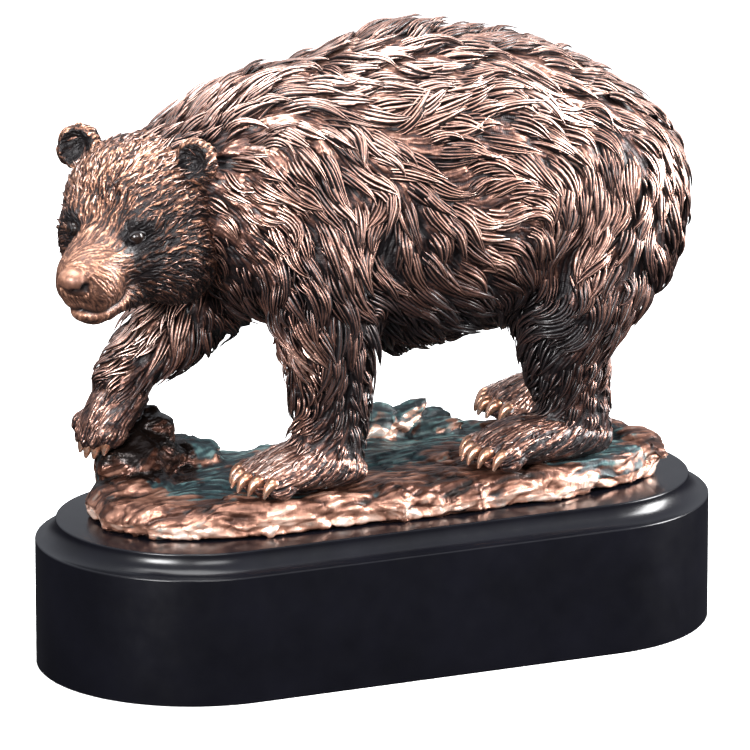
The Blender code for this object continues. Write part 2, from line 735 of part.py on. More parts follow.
def main():
    clear_scene()
    sculpture = new_collection("bear_sculpture")
    helpers = new_collection("helpers")
    helpers.hide_render = True
    bronze = new_material("bronzed_resin", (0.42, 0.22, 0.14), 0.38, 0.85)
    black = new_material("black_lacquer", (0.012, 0.012, 0.014), 0.28, 0.0)
    make_plinth(sculpture, black)
    make_cast(sculpture, helpers, bronze)


main()
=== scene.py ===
"""Looks of the walking bear: rubbed bronze coat, rocky ground and black lacquered plinth.

The sculpture is worked out in the bear's units, millimetres with z = 0 at the top of the ground,
and each finished piece is put in the frame's metres at the end.
"""

import json
import math

import bmesh
import bpy
import numpy as np
from mathutils import Euler, Matrix, Vector, noise
from mathutils.bvhtree import BVHTree

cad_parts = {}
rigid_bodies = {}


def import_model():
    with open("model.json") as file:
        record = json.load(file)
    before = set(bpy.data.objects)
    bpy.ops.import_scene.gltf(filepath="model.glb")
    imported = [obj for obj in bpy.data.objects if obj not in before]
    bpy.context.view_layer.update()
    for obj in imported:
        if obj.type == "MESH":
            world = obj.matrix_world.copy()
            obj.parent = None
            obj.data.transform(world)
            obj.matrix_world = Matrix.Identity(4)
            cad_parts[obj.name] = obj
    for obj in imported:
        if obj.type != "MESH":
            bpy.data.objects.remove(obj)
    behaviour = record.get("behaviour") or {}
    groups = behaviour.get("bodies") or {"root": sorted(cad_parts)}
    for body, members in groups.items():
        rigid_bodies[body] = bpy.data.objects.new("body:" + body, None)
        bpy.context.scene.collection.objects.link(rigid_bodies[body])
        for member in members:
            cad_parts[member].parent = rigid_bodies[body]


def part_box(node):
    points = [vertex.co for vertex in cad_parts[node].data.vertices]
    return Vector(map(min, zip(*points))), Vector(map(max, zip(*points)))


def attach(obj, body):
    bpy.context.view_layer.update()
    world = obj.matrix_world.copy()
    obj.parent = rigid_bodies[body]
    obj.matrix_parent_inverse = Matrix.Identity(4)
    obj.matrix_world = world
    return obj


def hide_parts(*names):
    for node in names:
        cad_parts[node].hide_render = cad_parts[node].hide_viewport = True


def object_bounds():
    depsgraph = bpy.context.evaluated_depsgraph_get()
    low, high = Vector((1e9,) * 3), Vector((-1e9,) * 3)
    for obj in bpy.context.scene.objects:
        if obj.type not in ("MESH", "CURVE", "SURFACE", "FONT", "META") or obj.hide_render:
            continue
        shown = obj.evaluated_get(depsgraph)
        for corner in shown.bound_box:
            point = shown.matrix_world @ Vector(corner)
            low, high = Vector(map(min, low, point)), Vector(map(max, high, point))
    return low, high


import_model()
cad_low, cad_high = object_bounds()

# Places taken from the frame
MM = 0.001
PLINTH_LOW, PLINTH_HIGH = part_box("plinth")
SEAT_GAP = 0.3
GROUND_THICKNESS = 10.0
GROUND_TOP = PLINTH_HIGH.z / MM + SEAT_GAP + GROUND_THICKNESS
TO_METRES = Matrix.Scale(MM, 4) @ Matrix.Translation((0, 0, GROUND_TOP))

# Head: its own units run +X to the nose and +Z up
HEAD_TURN = 37.5
HEAD_DROP = 24.0
HEAD_PLACE = (-81.0, -2.0, 88.0)
HEAD = (
    Matrix.Translation(HEAD_PLACE)
    @ Matrix.Rotation(math.radians(180 + HEAD_TURN), 4, "Z")
    @ Matrix.Rotation(math.radians(HEAD_DROP), 4, "Y")
)

# Mesh fineness
SECTION_SIDES = 28
STEPS_BETWEEN_STATIONS = 5
FORM_VOXEL = 1.6
FORM_SMOOTHING = 9
SKIN_VOXEL = 1.0
HEAD_VOXEL = 0.5
PAW_VOXEL = 0.6
ROCK_VOXEL = 0.7

# Sections from rump to chest: x, y, z of the widest level, half width, height above, depth below.
TORSO = (
    (98.5, -2, 77, 11, 15, 20),
    (93, -1, 76, 21, 25, 29),
    (83, 0, 75, 29, 34.5, 34),
    (68, 0, 75, 34, 44.5, 37),
    (52, 0, 76, 36, 51, 36),
    (32, 0, 77, 37.5, 55, 38),
    (14, 0, 77, 38, 58.5, 42),
    (-4, 0, 78, 36.5, 55.5, 41),
    (-20, 0, 80, 34, 47.5, 38),
    (-36, 0, 84, 31.5, 42, 36),
    (-50, 1, 86, 26, 34.5, 31),
    (-62, 2, 87, 18, 24, 22),
)
NECK = (
    (-40, 0, 90, 27, 35, 33),
    (-52, 2, 89.5, 25, 31, 30),
    (-62, 4, 88.5, 21.5, 25.5, 26),
    (-72, 5, 87.5, 18, 22, 22),
    (-80, 5, 87, 13, 16.5, 16),
)

# Legs and feet, sections square to their path: x, y, z, half width, half depth.
NEAR_FORELEG = (
    (-24, -20, 88, 14, 24),
    (-26, -23, 66, 14, 21),
    (-26, -23, 48, 12, 16),
    (-25, -22, 34, 11, 14),
    (-24.5, -21, 22, 10, 13),
    (-25.5, -20, 12, 10, 12.5),
    (-27, -20, 5, 10, 13),
)
NEAR_FOREPAW = (
    (-15, -20, 4.5, 8, 4),
    (-24, -20, 7, 11, 7),
    (-34, -20, 7.5, 12, 7.5),
    (-43, -20.5, 6, 12.5, 6),
    (-49, -21, 4.5, 11, 4.2),
)
FAR_FORELEG = (
    (-36, 18, 82, 14, 23),
    (-42, 20, 64, 13, 20),
    (-51, 20, 50, 12, 16),
    (-63, 19, 40, 11, 12.5),
    (-73, 18, 33, 9.5, 9.5),
    (-79, 18, 26, 9, 8.5),
)
FAR_FOREPAW = (
    (-73, 18, 27, 8.5, 7.5),
    (-78, 17.5, 22, 9.5, 7.5),
    (-82.5, 17, 16, 10, 6.5),
    (-85.5, 17, 11, 8.5, 4.5),
)
NEAR_HIND_LEG = (
    (66, -14, 84, 20, 29),
    (63, -20, 66, 18, 26.5),
    (56, -23, 48, 14.5, 19.5),
    (53.5, -22, 34, 11.5, 15.5),
    (56.5, -20.5, 22, 9.5, 13),
    (59, -20, 12, 9, 10.5),
    (59, -20, 5, 8.5, 10),
)
NEAR_HIND_FOOT = (
    (68, -20, 5, 6, 4.5),
    (61, -20, 6.5, 9, 6.5),
    (50, -20.5, 7.2, 10.5, 7.2),
    (38, -21, 7, 11.8, 7),
    (30, -21.5, 5.6, 11.5, 5.6),
    (26, -22, 4.4, 9, 4),
)
FAR_HIND_LEG = (
    (74, 14, 82, 18, 24),
    (74, 20, 64, 16, 23),
    (71, 22, 46, 13.5, 18),
    (72, 21, 32, 11, 14),
    (77, 20, 20, 9, 11),
    (80, 20, 10, 8.5, 9.5),
    (80, 20, 5, 8.5, 9),
)
FAR_HIND_FOOT = (
    (87, 20, 5.5, 6, 4.5),
    (80, 20, 7, 9, 6.5),
    (70, 20, 8, 10.5, 7.4),
    (61, 20.5, 8, 11.5, 7),
    (54, 21, 7, 11, 5.6),
    (50, 21, 6, 8.5, 4.2),
)
PAW_SECTIONS = (NEAR_FOREPAW, FAR_FOREPAW, NEAR_HIND_FOOT, FAR_HIND_FOOT)

# Locks that stand clear of the outline: root, tip, radius at the root.
TUFTS = (
    ((-20, -22, 46), (-9.5, -21, 34), 4.6),
    ((-19, -22, 37), (-9.5, -20, 27), 4.2),
    ((-44, 18, 52), (-41, 16, 40), 4.6),
    ((-56, 17, 42), (-52, 15, 32.5), 4.2),
    ((-63, 17, 38), (-58.5, 16, 29.5), 3.8),
    ((-2, -9, 44), (6, -10, 35.0), 5.5),
    ((4, 9, 44), (12, 8, 36.5), 5.5),
    ((40, -16, 46), (46, -18, 35), 5.0),
    ((62, -21, 28), (71, -20, 22), 3.8),
)

# In the head's own units.
SKULL = (
    (-23, 0, -3, 14, 13),
    (-16, 0, -3, 21.5, 19),
    (-7, 0, -4, 24, 22),
    (1, 0, -5, 22.6, 21.3),
    (7, 0, -5.5, 19, 18.8),
    (12, 0, -5, 15.4, 15),
    (17, 0, -4, 12.4, 11),
    (22, 0, -3, 10.6, 9),
    (28, 0, -2.3, 9.6, 8),
    (33, 0, -2, 8.6, 7.2),
    (36, 0, -2, 6.3, 5.6),
)
JAW = (
    (-2, 0, -18, 15, 10),
    (11, 0, -18.5, 12, 8.5),
    (22, 0, -16.2, 9.2, 5.6),
    (29, 0, -15.0, 7.4, 5.2),
    (35.2, 0, -12.6, 5.6, 4.4),
)
EAR_PLACE = (-10, 20, 12.5)
EAR_TURN = (30, -34, -6)
EAR_SIZE = (3.4, 7.2, 7.0)
EAR_HOLLOW_SHARE = 0.72
EAR_HOLLOW_DEPTH = 1.5
EAR_BEND = 0.25
NOSE_PLACE = (36.4, 0, -0.6)
NOSE_SIZE = (3.4, 4.8, 4.1)
NOSE_TILT = 18
EYE_PLACE = (15.2, 10.6, 2.0)
EYE_RADIUS = 2.3
MOUTH = (
    (17.5, 12.0, -10.4), (21.0, 11.2, -12.3), (24.0, 10.2, -13.3),
    (27.5, 8.8, -13.6), (31, 6.8, -13.2), (34.4, 4, -12.2), (36.0, 0, -11.4),
)
MOUTH_REACH = (0.5, 0.4, 1.0)
PHILTRUM = ((39.6, 0, -3.8), (38.2, 0, -6.5), (36.4, 0, -11.2))
NOSTRIL = ((39.2, 1.8, -2.4), (38.8, 3.0, -3.2), (38.0, 4.2, -2.7), (37.4, 4.7, -1.4))
NOSE_ASIDE = -0.6

# Rounded masses on either side: place, radii and turn in degrees. The y is given for the far side.
SHOULDER = ((-34, 17, 86), (22, 15, 31), (-8, 0, 0))
HAUNCH = ((67, 15, 75), (24, 20, 33), (-6, 0, 0))
RUFF = ((0, 11, -13), (15, 14.5, 19), (0, 0, 0))
BROW = ((9.5, 9.6, 5.2), (6.8, 6.2, 4.5), (0, 30, 12))
UPPER_LIP = ((29.0, 4.8, -6.0), (8.2, 5.8, 6.8), (0, 0, 0))

# Paw: the middle of its toe line, the way the toes point, the drop of the claws, its half width.
PAWS = (
    ((-48.5, -21, 4.6), (-1, -0.12, 0), 3.4, 10.0),
    ((27, -22, 4.8), (-1, -0.1, 0), 3.6, 9.8),
    ((51, 21, 6.4), (-1, 0.05, 0), 3.4, 9.4),
    ((-85, 17, 12.5), (-0.5, -0.05, -0.86), 1.0, 8.6),
)
TOES = 5
TOE_SIZE = (5.0, 2.7, 4.2)
TOE_ARC = 3.2
TOE_GROOVE_AHEAD = 5.0
TOE_GROOVE_BACK = 7.0
TOE_GROOVE_REACH = 1.1
TOE_GROOVE_DEPTH = 1.2
CLAW_START = 1.8
CLAW_RISE = 1.3
CLAW_LENGTH = 4.7
CLAW_SIZES = (1.5, 1.95, 1.9, 1.7, 1.4, 1.0, 0.4)

# The way the fur lies, seen from the side: x, z and the direction there.
FUR_WAYS = (
    (-72, 108, 1.0, 0.1), (-55, 115, 1.0, 0.15), (-56, 96, 0.8, -0.6), (-62, 76, 0.4, -0.9),
    (-30, 122, 1.0, -0.1), (-32, 98, 0.65, -0.75), (-14, 108, 0.9, -0.4), (-28, 72, 0.3, -0.95),
    (-26, 46, 0.2, -1.0), (-26, 22, 0.0, -1.0), (-40, 7, -1.0, -0.15), (-50, 52, -0.2, -1.0),
    (-72, 32, -0.6, -0.8), (0, 126, 1.0, 0.1), (30, 128, 1.0, -0.1), (62, 116, 0.9, -0.4),
    (86, 100, 0.6, -0.8), (4, 92, 0.8, -0.6), (32, 94, 0.9, -0.45), (0, 64, 0.5, -0.85),
    (26, 62, 0.6, -0.8), (14, 42, 0.8, -0.6), (56, 94, 0.4, -0.9), (76, 84, -0.1, -1.0),
    (58, 66, -0.4, -0.9), (44, 50, -0.3, -0.95), (92, 74, -0.15, -1.0), (57, 30, 0.15, -1.0),
    (62, 14, 0.0, -1.0), (42, 8, -1.0, -0.15), (66, 9, -1.0, -0.15),
)
WAY_SPREAD = 15.0
SKULL_MIDDLE = (2.0, 0.0, -5.0)
HEAD_REACH = 26.0
WAVE_SIZE = 15.0
WAVE_SHARE = 0.75
WAVE_OFFSET = 3.7
SWIRL_SIZE = 34.0
SWIRL_OFFSET = 9.1
SWIRL_ANGLE = math.radians(58)
STREAK_SAMPLES = 7
STREAK_GAIN = 0.75
BELLY_SHADE = 0.45
BELLY_SHADE_TOP = 64.0
BELLY_SHADE_FADE = 15.0
BELLY_SHADE_HALF = 40.0
BELLY_MIDDLE = 17.0

# Ground
GROUND_LENGTH = 184.0
GROUND_WIDTH = 68.0
GROUND_SLOPE = 5.2
GROUND_RELIEF = 1.4
GROUND_SWELL = 14.0
OUTLINE_RELIEF = 3.0
OUTLINE_SQUARENESS = 2.7
GROUND_LIP = 0.35
GROUND_TURNS = 240
GROUND_RINGS = 28

# Boulder: centre, radii, turn in degrees.
BOULDERS = (
    ((-71, 16, 4), (14, 12, 12), (10, -14, 20)),
    ((-66, 17, 13), (6.5, 8, 6.5), (0, 20, 10)),
    ((-76, 6, -3), (11, 13, 7), (0, 0, 30)),
    ((-52, 24, 1), (12, 8, 6), (0, 10, -12)),
    ((13, 24, 2), (10, 6, 7.5), (0, 16, 12)),
    ((24, 27, 0), (14, 6, 6), (0, -6, 0)),
    ((82, -4, -3), (9, 18, 5.5), (0, 0, 10)),
    ((20, 4, -4), (30, 16, 5), (0, 0, 0)),
)
BOULDER_ROUGHNESS = 0.10


# Slanting wedges of rock behind the near forefoot, placed as the boulders are.
WEDGES = (
    ((19, 24, 4.5), (11, 3.4, 4.0), (0, -24, 10)),
    ((29, 20, 1.0), (10, 3.2, 3.2), (0, -12, -14)),
    ((9, 27, 4.0), (8, 3.0, 4.0), (0, -32, 24)),
)
BOULDER_MIDDLE = (-71, 16, 5)
BOULDER_REACH = (17, 15, 15)
TEAL_PLACES = ((-49, 30), (-57, 2), (-44, -4), (16, 20), (4, 8), (28, 24), (62, -10), (60, 6), (-20, 14))

# Plinth profile, in millimetres
MOULDING_RISE = 6.2
MOULDING_INSET = 6.2
EDGE_ROUND = 0.5
EDGE_STEPS = 5
COVE_STEPS = 16
COVE_FULLNESS = 1.0
END_STEPS = 96


# ---- meshes -------------------------------------------------------------------------------------


def link(obj):
    bpy.context.scene.collection.objects.link(obj)
    return obj


def new_object(name, bm):
    mesh = bpy.data.meshes.new(name)
    bm.to_mesh(mesh)
    bm.free()
    return link(bpy.data.objects.new(name, mesh))


def baked(obj, name):
    """A plain object from the evaluated one, which is removed."""
    bpy.context.view_layer.update()
    graph = bpy.context.evaluated_depsgraph_get()
    mesh = bpy.data.meshes.new_from_object(obj.evaluated_get(graph))
    mesh.name = name
    bpy.data.objects.remove(obj)
    return link(bpy.data.objects.new(name, mesh))


def fused(name, bm, voxel, smoothing):
    """The forms of bm melted into one skin."""
    obj = new_object(name + "_forms", bm)
    remesh = obj.modifiers.new("Fuse", "REMESH")
    remesh.mode = "VOXEL"
    remesh.voxel_size = voxel
    smooth = obj.modifiers.new("Soften", "SMOOTH")
    smooth.factor = 0.5
    smooth.iterations = smoothing
    return baked(obj, name)


def mesh_of(obj):
    bm = bmesh.new()
    bm.from_mesh(obj.data)
    return bm


def read_points(mesh):
    points = np.empty(3 * len(mesh.vertices))
    normals = np.empty(3 * len(mesh.vertices))
    mesh.vertices.foreach_get("co", points)
    mesh.vertices.foreach_get("normal", normals)
    return points.reshape(-1, 3), normals.reshape(-1, 3)


def write_points(mesh, points):
    mesh.vertices.foreach_set("co", np.ascontiguousarray(points).ravel())
    mesh.update()


def write_attribute(mesh, name, values):
    attribute = mesh.attributes.get(name) or mesh.attributes.new(name, "FLOAT", "POINT")
    attribute.data.foreach_set("value", np.asarray(values, np.float32))


def smooth_through(stations, steps):
    """Rows between the stations, on a Catmull-Rom curve through all their numbers."""
    first = [2 * a - b for a, b in zip(stations[0], stations[1])]
    last = [2 * a - b for a, b in zip(stations[-1], stations[-2])]
    rows = [first, *stations, last]
    out = []
    for i in range(1, len(rows) - 2):
        before, start, end, after = rows[i - 1 : i + 3]
        for k in range(steps):
            t = k / steps
            out.append([
                0.5 * (2 * b + (c - a) * t + (2 * a - 5 * b + 4 * c - d) * t * t
                       + (3 * b - a - 3 * c + d) * t ** 3)
                for a, b, c, d in zip(before, start, end, after)
            ])
    out.append(list(rows[-2]))
    return out


def add_loft(bm, stations, place=Matrix.Identity(4), upright=False):
    """A closed loft. A station is x, y, z, half width, half height above and half height below.

    Its sections stand square to the path or, where upright is set, all stand upright across X.
    A station with one half height has the same above and below.
    """
    rows = smooth_through([(*s, s[-1]) if len(s) == 5 else s for s in stations], STEPS_BETWEEN_STATIONS)
    centres = [Vector(r[:3]) for r in rows]
    rings = []
    for i, row in enumerate(rows):
        ahead = (centres[min(i + 1, len(rows) - 1)] - centres[max(i - 1, 0)]).normalized()
        across = Vector((0, 1, 0))
        up = Vector((0, 0, 1))
        if not upright:
            across = (across - across.dot(ahead) * ahead).normalized()
            up = ahead.cross(across)
        ring = []
        for k in range(SECTION_SIDES):
            angle = 2 * math.pi * k / SECTION_SIDES
            rise = math.sin(angle)
            height = row[4] if rise > 0 else row[5]
            ring.append(bm.verts.new(centres[i] + across * row[3] * math.cos(angle) + up * height * rise))
        rings.append(ring)
    for low, high in zip(rings, rings[1:]):
        for k in range(SECTION_SIDES):
            n = (k + 1) % SECTION_SIDES
            bm.faces.new((low[k], low[n], high[n], high[k]))
    made = [v for ring in rings for v in ring]
    for ring, centre, inner, row in (
        (rings[0], centres[0], centres[1], rows[0]),
        (rings[-1], centres[-1], centres[-2], rows[-1]),
    ):
        tip = bm.verts.new(centre + (centre - inner).normalized() * 0.5 * min(row[3], row[4]))
        made.append(tip)
        for k in range(SECTION_SIDES):
            bm.faces.new((ring[k], ring[(k + 1) % SECTION_SIDES], tip))
    bmesh.ops.transform(bm, matrix=place, verts=made)
    bmesh.ops.recalc_face_normals(bm, faces=list({f for v in made for f in v.link_faces}))


def add_ball(bm, centre, radii, place=Matrix.Identity(4), turn=(0, 0, 0), fineness=3):
    """An ellipsoid, with its radii along its own turned axes."""
    spin = Euler([math.radians(a) for a in turn]).to_matrix().to_4x4()
    size = Matrix.Diagonal((*radii, 1.0))
    bmesh.ops.create_icosphere(
        bm, subdivisions=fineness, radius=1.0, matrix=place @ Matrix.Translation(centre) @ spin @ size
    )


def add_mass(bm, mass, side, place=Matrix.Identity(4)):
    """The ball of one side: side is 1 for the far side and -1 for its mirror image."""
    (x, y, z), radii, (roll, pitch, yaw) = mass
    add_ball(bm, (x, side * y, z), radii, place, (side * roll, pitch, side * yaw))


def take_over(bm, other):
    """Adds the other mesh's faces to this one."""
    mesh = bpy.data.meshes.new("part")
    other.to_mesh(mesh)
    other.free()
    bm.from_mesh(mesh)
    bpy.data.meshes.remove(mesh)


def add_tuft(bm, root, tip, radius):
    """A lock of hair: a flat tapered loft that bends a little down on its way."""
    root, tip = Vector(root), Vector(tip)
    bend = Vector((0, 0, -0.12)) * (tip - root).length
    stations = []
    for share, width in ((0.0, 1.0), (0.35, 0.95), (0.7, 0.6), (1.0, 0.18)):
        centre = root.lerp(tip, share) + bend * 4 * share * (1 - share)
        stations.append((*centre, radius * width, 0.75 * radius * width))
    add_loft(bm, stations)


def head_masses(bm):
    add_loft(bm, SKULL, HEAD)
    add_loft(bm, JAW, HEAD)
    for side in (-1, 1):
        for mass in (RUFF, BROW, UPPER_LIP):
            add_mass(bm, mass, side, HEAD)


def bear_forms():
    """The large forms: trunk, neck, legs, feet, and the head down to the muzzle."""
    bm = bmesh.new()
    add_loft(bm, TORSO, upright=True)
    add_loft(bm, NECK, upright=True)
    for stations in (NEAR_FORELEG, FAR_FORELEG, NEAR_HIND_LEG, FAR_HIND_LEG, *PAW_SECTIONS):
        add_loft(bm, stations)
    for root, tip, radius in TUFTS:
        add_tuft(bm, root, tip, radius)
    for side in (-1, 1):
        for mass in (SHOULDER, HAUNCH):
            add_mass(bm, mass, side)
    head_masses(bm)
    return bm


# ---- the way of the fur ------------------------------------------------------------------------


def unit_rows(rows):
    return rows / (np.linalg.norm(rows, axis=1)[:, None] + 1e-9)


def along_surface(ways, normals):
    return unit_rows(ways - (ways * normals).sum(1)[:, None] * normals)


def noise_at(points, size, offset=0.0):
    return np.array([noise.noise(Vector(p)) for p in points / size + offset])


def fur_ways(points):
    """The direction of the fur at each point: by the guides on the body, back from the nose on the head."""
    guides = np.array(FUR_WAYS)
    gap = (points[:, None, [0, 2]] - guides[None, :, :2]) / WAY_SPREAD
    weight = np.exp(-(gap ** 2).sum(2)) + 1e-9
    way = (weight @ guides[:, 2:]) / weight.sum(1)[:, None]
    ways = np.stack([way[:, 0], np.zeros(len(points)), way[:, 1]], 1)
    nose = np.array(HEAD @ Vector(NOSE_PLACE))
    skull = np.array(HEAD @ Vector(SKULL_MIDDLE))
    near_head = np.exp(-(((points - skull) ** 2).sum(1) / HEAD_REACH ** 2) ** 3)[:, None]
    ways = ways * (1 - near_head) + unit_rows(points - nose) * near_head
    return unit_rows(ways)


def lie_of_fur(points, normals, swirl=1.0, turn=0.0):
    """The fur's direction on the surface with its waves and swirls; turn adds each point's own angle."""
    wave = WAVE_SHARE * noise_at(points, WAVE_SIZE, WAVE_OFFSET) + noise_at(points, SWIRL_SIZE, SWIRL_OFFSET)
    angles = swirl * SWIRL_ANGLE * wave + turn
    ways = along_surface(fur_ways(points), normals)
    sideways = np.cross(normals, ways)
    return ways * np.cos(angles)[:, None] + sideways * np.sin(angles)[:, None]


def streaks(points, ways, reach, width):
    """Noise drawn out along the ways, from -1 to 1."""
    swell = np.zeros(len(points))
    for share in np.linspace(-1, 1, STREAK_SAMPLES):
        swell += noise_at(points + ways * share * reach, width)
    return np.clip(STREAK_GAIN * swell, -1, 1)


def write_ways(mesh, ways):
    """The fur's direction, for the finish to draw its strands along."""
    attribute = mesh.attributes.new("way", "FLOAT_VECTOR", "POINT")
    attribute.data.foreach_set("vector", np.asarray(ways, np.float32).ravel())


# Locks of hair


def surface_of(mesh):
    bm = bmesh.new()
    bm.from_mesh(mesh)
    tree = BVHTree.FromBMesh(bm)
    bm.free()
    return tree


def settle(surface, points):
    """The nearest places on the surface and its normals there."""
    found = [surface.find_nearest(Vector(p)) for p in points]
    return np.array([f[0] for f in found]), np.array([f[1] for f in found])


def spread(mesh, spacing, candidates, seed, wanted):
    """Places spread evenly over the mesh, where wanted(points, normals) holds."""
    rng = np.random.default_rng(seed)
    mesh.calc_loop_triangles()
    corners = np.empty(3 * len(mesh.loop_triangles), np.int32)
    mesh.loop_triangles.foreach_get("vertices", corners)
    points, _ = read_points(mesh)
    a, b, c = (points[corners.reshape(-1, 3)[:, i]] for i in range(3))
    cross = np.cross(b - a, c - a)
    area = np.linalg.norm(cross, axis=1)
    pick = rng.choice(len(area), candidates, p=area / area.sum())
    u, v = rng.random((2, candidates))
    flip = u + v > 1
    u[flip], v[flip] = 1 - u[flip], 1 - v[flip]
    places = a[pick] + (b - a)[pick] * u[:, None] + (c - a)[pick] * v[:, None]
    places = places[wanted(places, unit_rows(cross[pick]))]
    cells = {}
    kept = []
    for place in places:
        home = tuple((place // spacing).astype(int))
        near = (
            other
            for i in (-1, 0, 1) for j in (-1, 0, 1) for k in (-1, 0, 1)
            for other in cells.get((home[0] + i, home[1] + j, home[2] + k), ())
        )
        if all(((place - other) ** 2).sum() > spacing ** 2 for other in near):
            cells.setdefault(home, []).append(place)
            kept.append(place)
    return np.array(kept)


def section_object(name, points):
    """A closed outline with a ridge attribute, for the sweep to read."""
    mesh = bpy.data.meshes.new(name)
    count = len(points)
    mesh.from_pydata([(x, y, 0) for x, y, _ in points], [(i, (i + 1) % count) for i in range(count)], [])
    write_attribute(mesh, "ridge", [p[2] for p in points])
    return link(bpy.data.objects.new(name, mesh))


def add_node(tree, kind, **settings):
    node = tree.nodes.new(kind)
    for key, value in settings.items():
        setattr(node, key, value)
    return node


def sweep_tree():
    """Geometry Nodes: sweeps a section along every path, square to the surface, with its size from the path."""
    tree = bpy.data.node_groups.new("sweep_along_surface", "GeometryNodeTree")
    new_socket = tree.interface.new_socket
    new_socket("Geometry", in_out="INPUT", socket_type="NodeSocketGeometry")
    sockets = {
        "Section": new_socket("Section", in_out="INPUT", socket_type="NodeSocketObject"),
        "Unevenness": new_socket("Unevenness", in_out="INPUT", socket_type="NodeSocketFloat"),
        "Unevenness Size": new_socket("Unevenness Size", in_out="INPUT", socket_type="NodeSocketFloat"),
        "Finish": new_socket("Finish", in_out="INPUT", socket_type="NodeSocketMaterial"),
    }
    new_socket("Geometry", in_out="OUTPUT", socket_type="NodeSocketGeometry")
    given = add_node(tree, "NodeGroupInput")
    result = add_node(tree, "NodeGroupOutput")
    paths = add_node(tree, "GeometryNodeMeshToCurve")
    across = add_node(tree, "GeometryNodeInputNamedAttribute", data_type="FLOAT_VECTOR")
    across.inputs[0].default_value = "across"
    size = add_node(tree, "GeometryNodeInputNamedAttribute", data_type="FLOAT")
    size.inputs[0].default_value = "size"
    turned = add_node(tree, "GeometryNodeSetCurveNormal", mode="FREE")
    section = add_node(tree, "GeometryNodeObjectInfo")
    outline = add_node(tree, "GeometryNodeMeshToCurve")
    swept = add_node(tree, "GeometryNodeCurveToMesh")
    swept.inputs["Fill Caps"].default_value = True
    place = add_node(tree, "GeometryNodeInputPosition")
    closer = add_node(tree, "ShaderNodeVectorMath", operation="DIVIDE")
    unevenness = add_node(tree, "ShaderNodeTexNoise")
    unevenness.inputs["Scale"].default_value = 1.0
    unevenness.inputs["Detail"].default_value = 1.0
    centred = add_node(tree, "ShaderNodeMath", operation="SUBTRACT")
    centred.inputs[1].default_value = 0.5
    depth = add_node(tree, "ShaderNodeMath", operation="MULTIPLY")
    outward = add_node(tree, "GeometryNodeInputNormal")
    shift = add_node(tree, "ShaderNodeVectorMath", operation="SCALE")
    moved = add_node(tree, "GeometryNodeSetPosition")
    smooth = add_node(tree, "GeometryNodeSetShadeSmooth")
    real = add_node(tree, "GeometryNodeRealizeInstances")
    finish = add_node(tree, "GeometryNodeSetMaterial")
    join = tree.links.new
    join(given.outputs["Geometry"], paths.inputs["Mesh"])
    join(paths.outputs["Curve"], turned.inputs["Curve"])
    join(across.outputs["Attribute"], turned.inputs["Normal"])
    join(turned.outputs["Curve"], swept.inputs["Curve"])
    join(given.outputs["Section"], section.inputs["Object"])
    join(section.outputs["Geometry"], outline.inputs["Mesh"])
    join(outline.outputs["Curve"], swept.inputs["Profile Curve"])
    join(size.outputs["Attribute"], swept.inputs["Scale"])
    join(place.outputs["Position"], closer.inputs[0])
    join(given.outputs["Unevenness Size"], closer.inputs[1])
    join(closer.outputs["Vector"], unevenness.inputs["Vector"])
    join(unevenness.outputs[0], centred.inputs[0])
    join(centred.outputs[0], depth.inputs[0])
    join(given.outputs["Unevenness"], depth.inputs[1])
    join(outward.outputs["Normal"], shift.inputs[0])
    join(depth.outputs[0], shift.inputs["Scale"])
    join(swept.outputs["Mesh"], moved.inputs["Geometry"])
    join(shift.outputs["Vector"], moved.inputs["Offset"])
    join(moved.outputs["Geometry"], smooth.inputs["Geometry"])
    join(smooth.outputs["Geometry"], real.inputs["Geometry"])
    join(real.outputs["Geometry"], finish.inputs["Geometry"])
    join(given.outputs["Finish"], finish.inputs["Material"])
    join(finish.outputs["Geometry"], result.inputs["Geometry"])
    return tree, {name: socket.identifier for name, socket in sockets.items()}


SWEEP, SWEEP_INPUTS = sweep_tree()
STRAND = section_object("strand_section", [(-1.25, -0.55, 0.0), (1.25, -0.55, 0.0), (0.15, 0.55, 1.0)])


def swept_piece(name, paths, section, finish, unevenness=0.0, unevenness_size=3.0):
    """paths holds arrays of paths by steps: points, across, size, along and tone."""
    count, steps = paths["size"].shape
    mesh = bpy.data.meshes.new(name + "_paths")
    starts = np.arange(count)[:, None] * steps + np.arange(steps - 1)[None, :]
    edges = np.stack([starts.ravel(), starts.ravel() + 1], 1)
    mesh.from_pydata(paths["points"].reshape(-1, 3).tolist(), edges.tolist(), [])
    for key in ("size", "along", "tone"):
        write_attribute(mesh, key, paths[key].ravel())
    across = mesh.attributes.new("across", "FLOAT_VECTOR", "POINT")
    across.data.foreach_set("vector", paths["across"].ravel())
    guide = link(bpy.data.objects.new(name + "_paths", mesh))
    sweep = guide.modifiers.new("Sweep", "NODES")
    sweep.node_group = SWEEP
    sweep[SWEEP_INPUTS["Section"]] = section
    sweep[SWEEP_INPUTS["Unevenness"]] = unevenness
    sweep[SWEEP_INPUTS["Unevenness Size"]] = unevenness_size
    sweep[SWEEP_INPUTS["Finish"]] = finish
    piece = baked(guide, name)
    for key in ("across", "size"):
        if key in piece.data.attributes:
            piece.data.attributes.remove(piece.data.attributes[key])
    return piece


LOCK_STEPS = 9
LOCK_SPREAD = (0.70, 0.92, 1.0, 0.98, 0.88, 0.70, 0.50, 0.30, 0.14)
LOCK_LIFT = (-2.6, -1.65, -0.95, -0.45, -0.15, 0.05, 0.2, 0.3, 0.3)


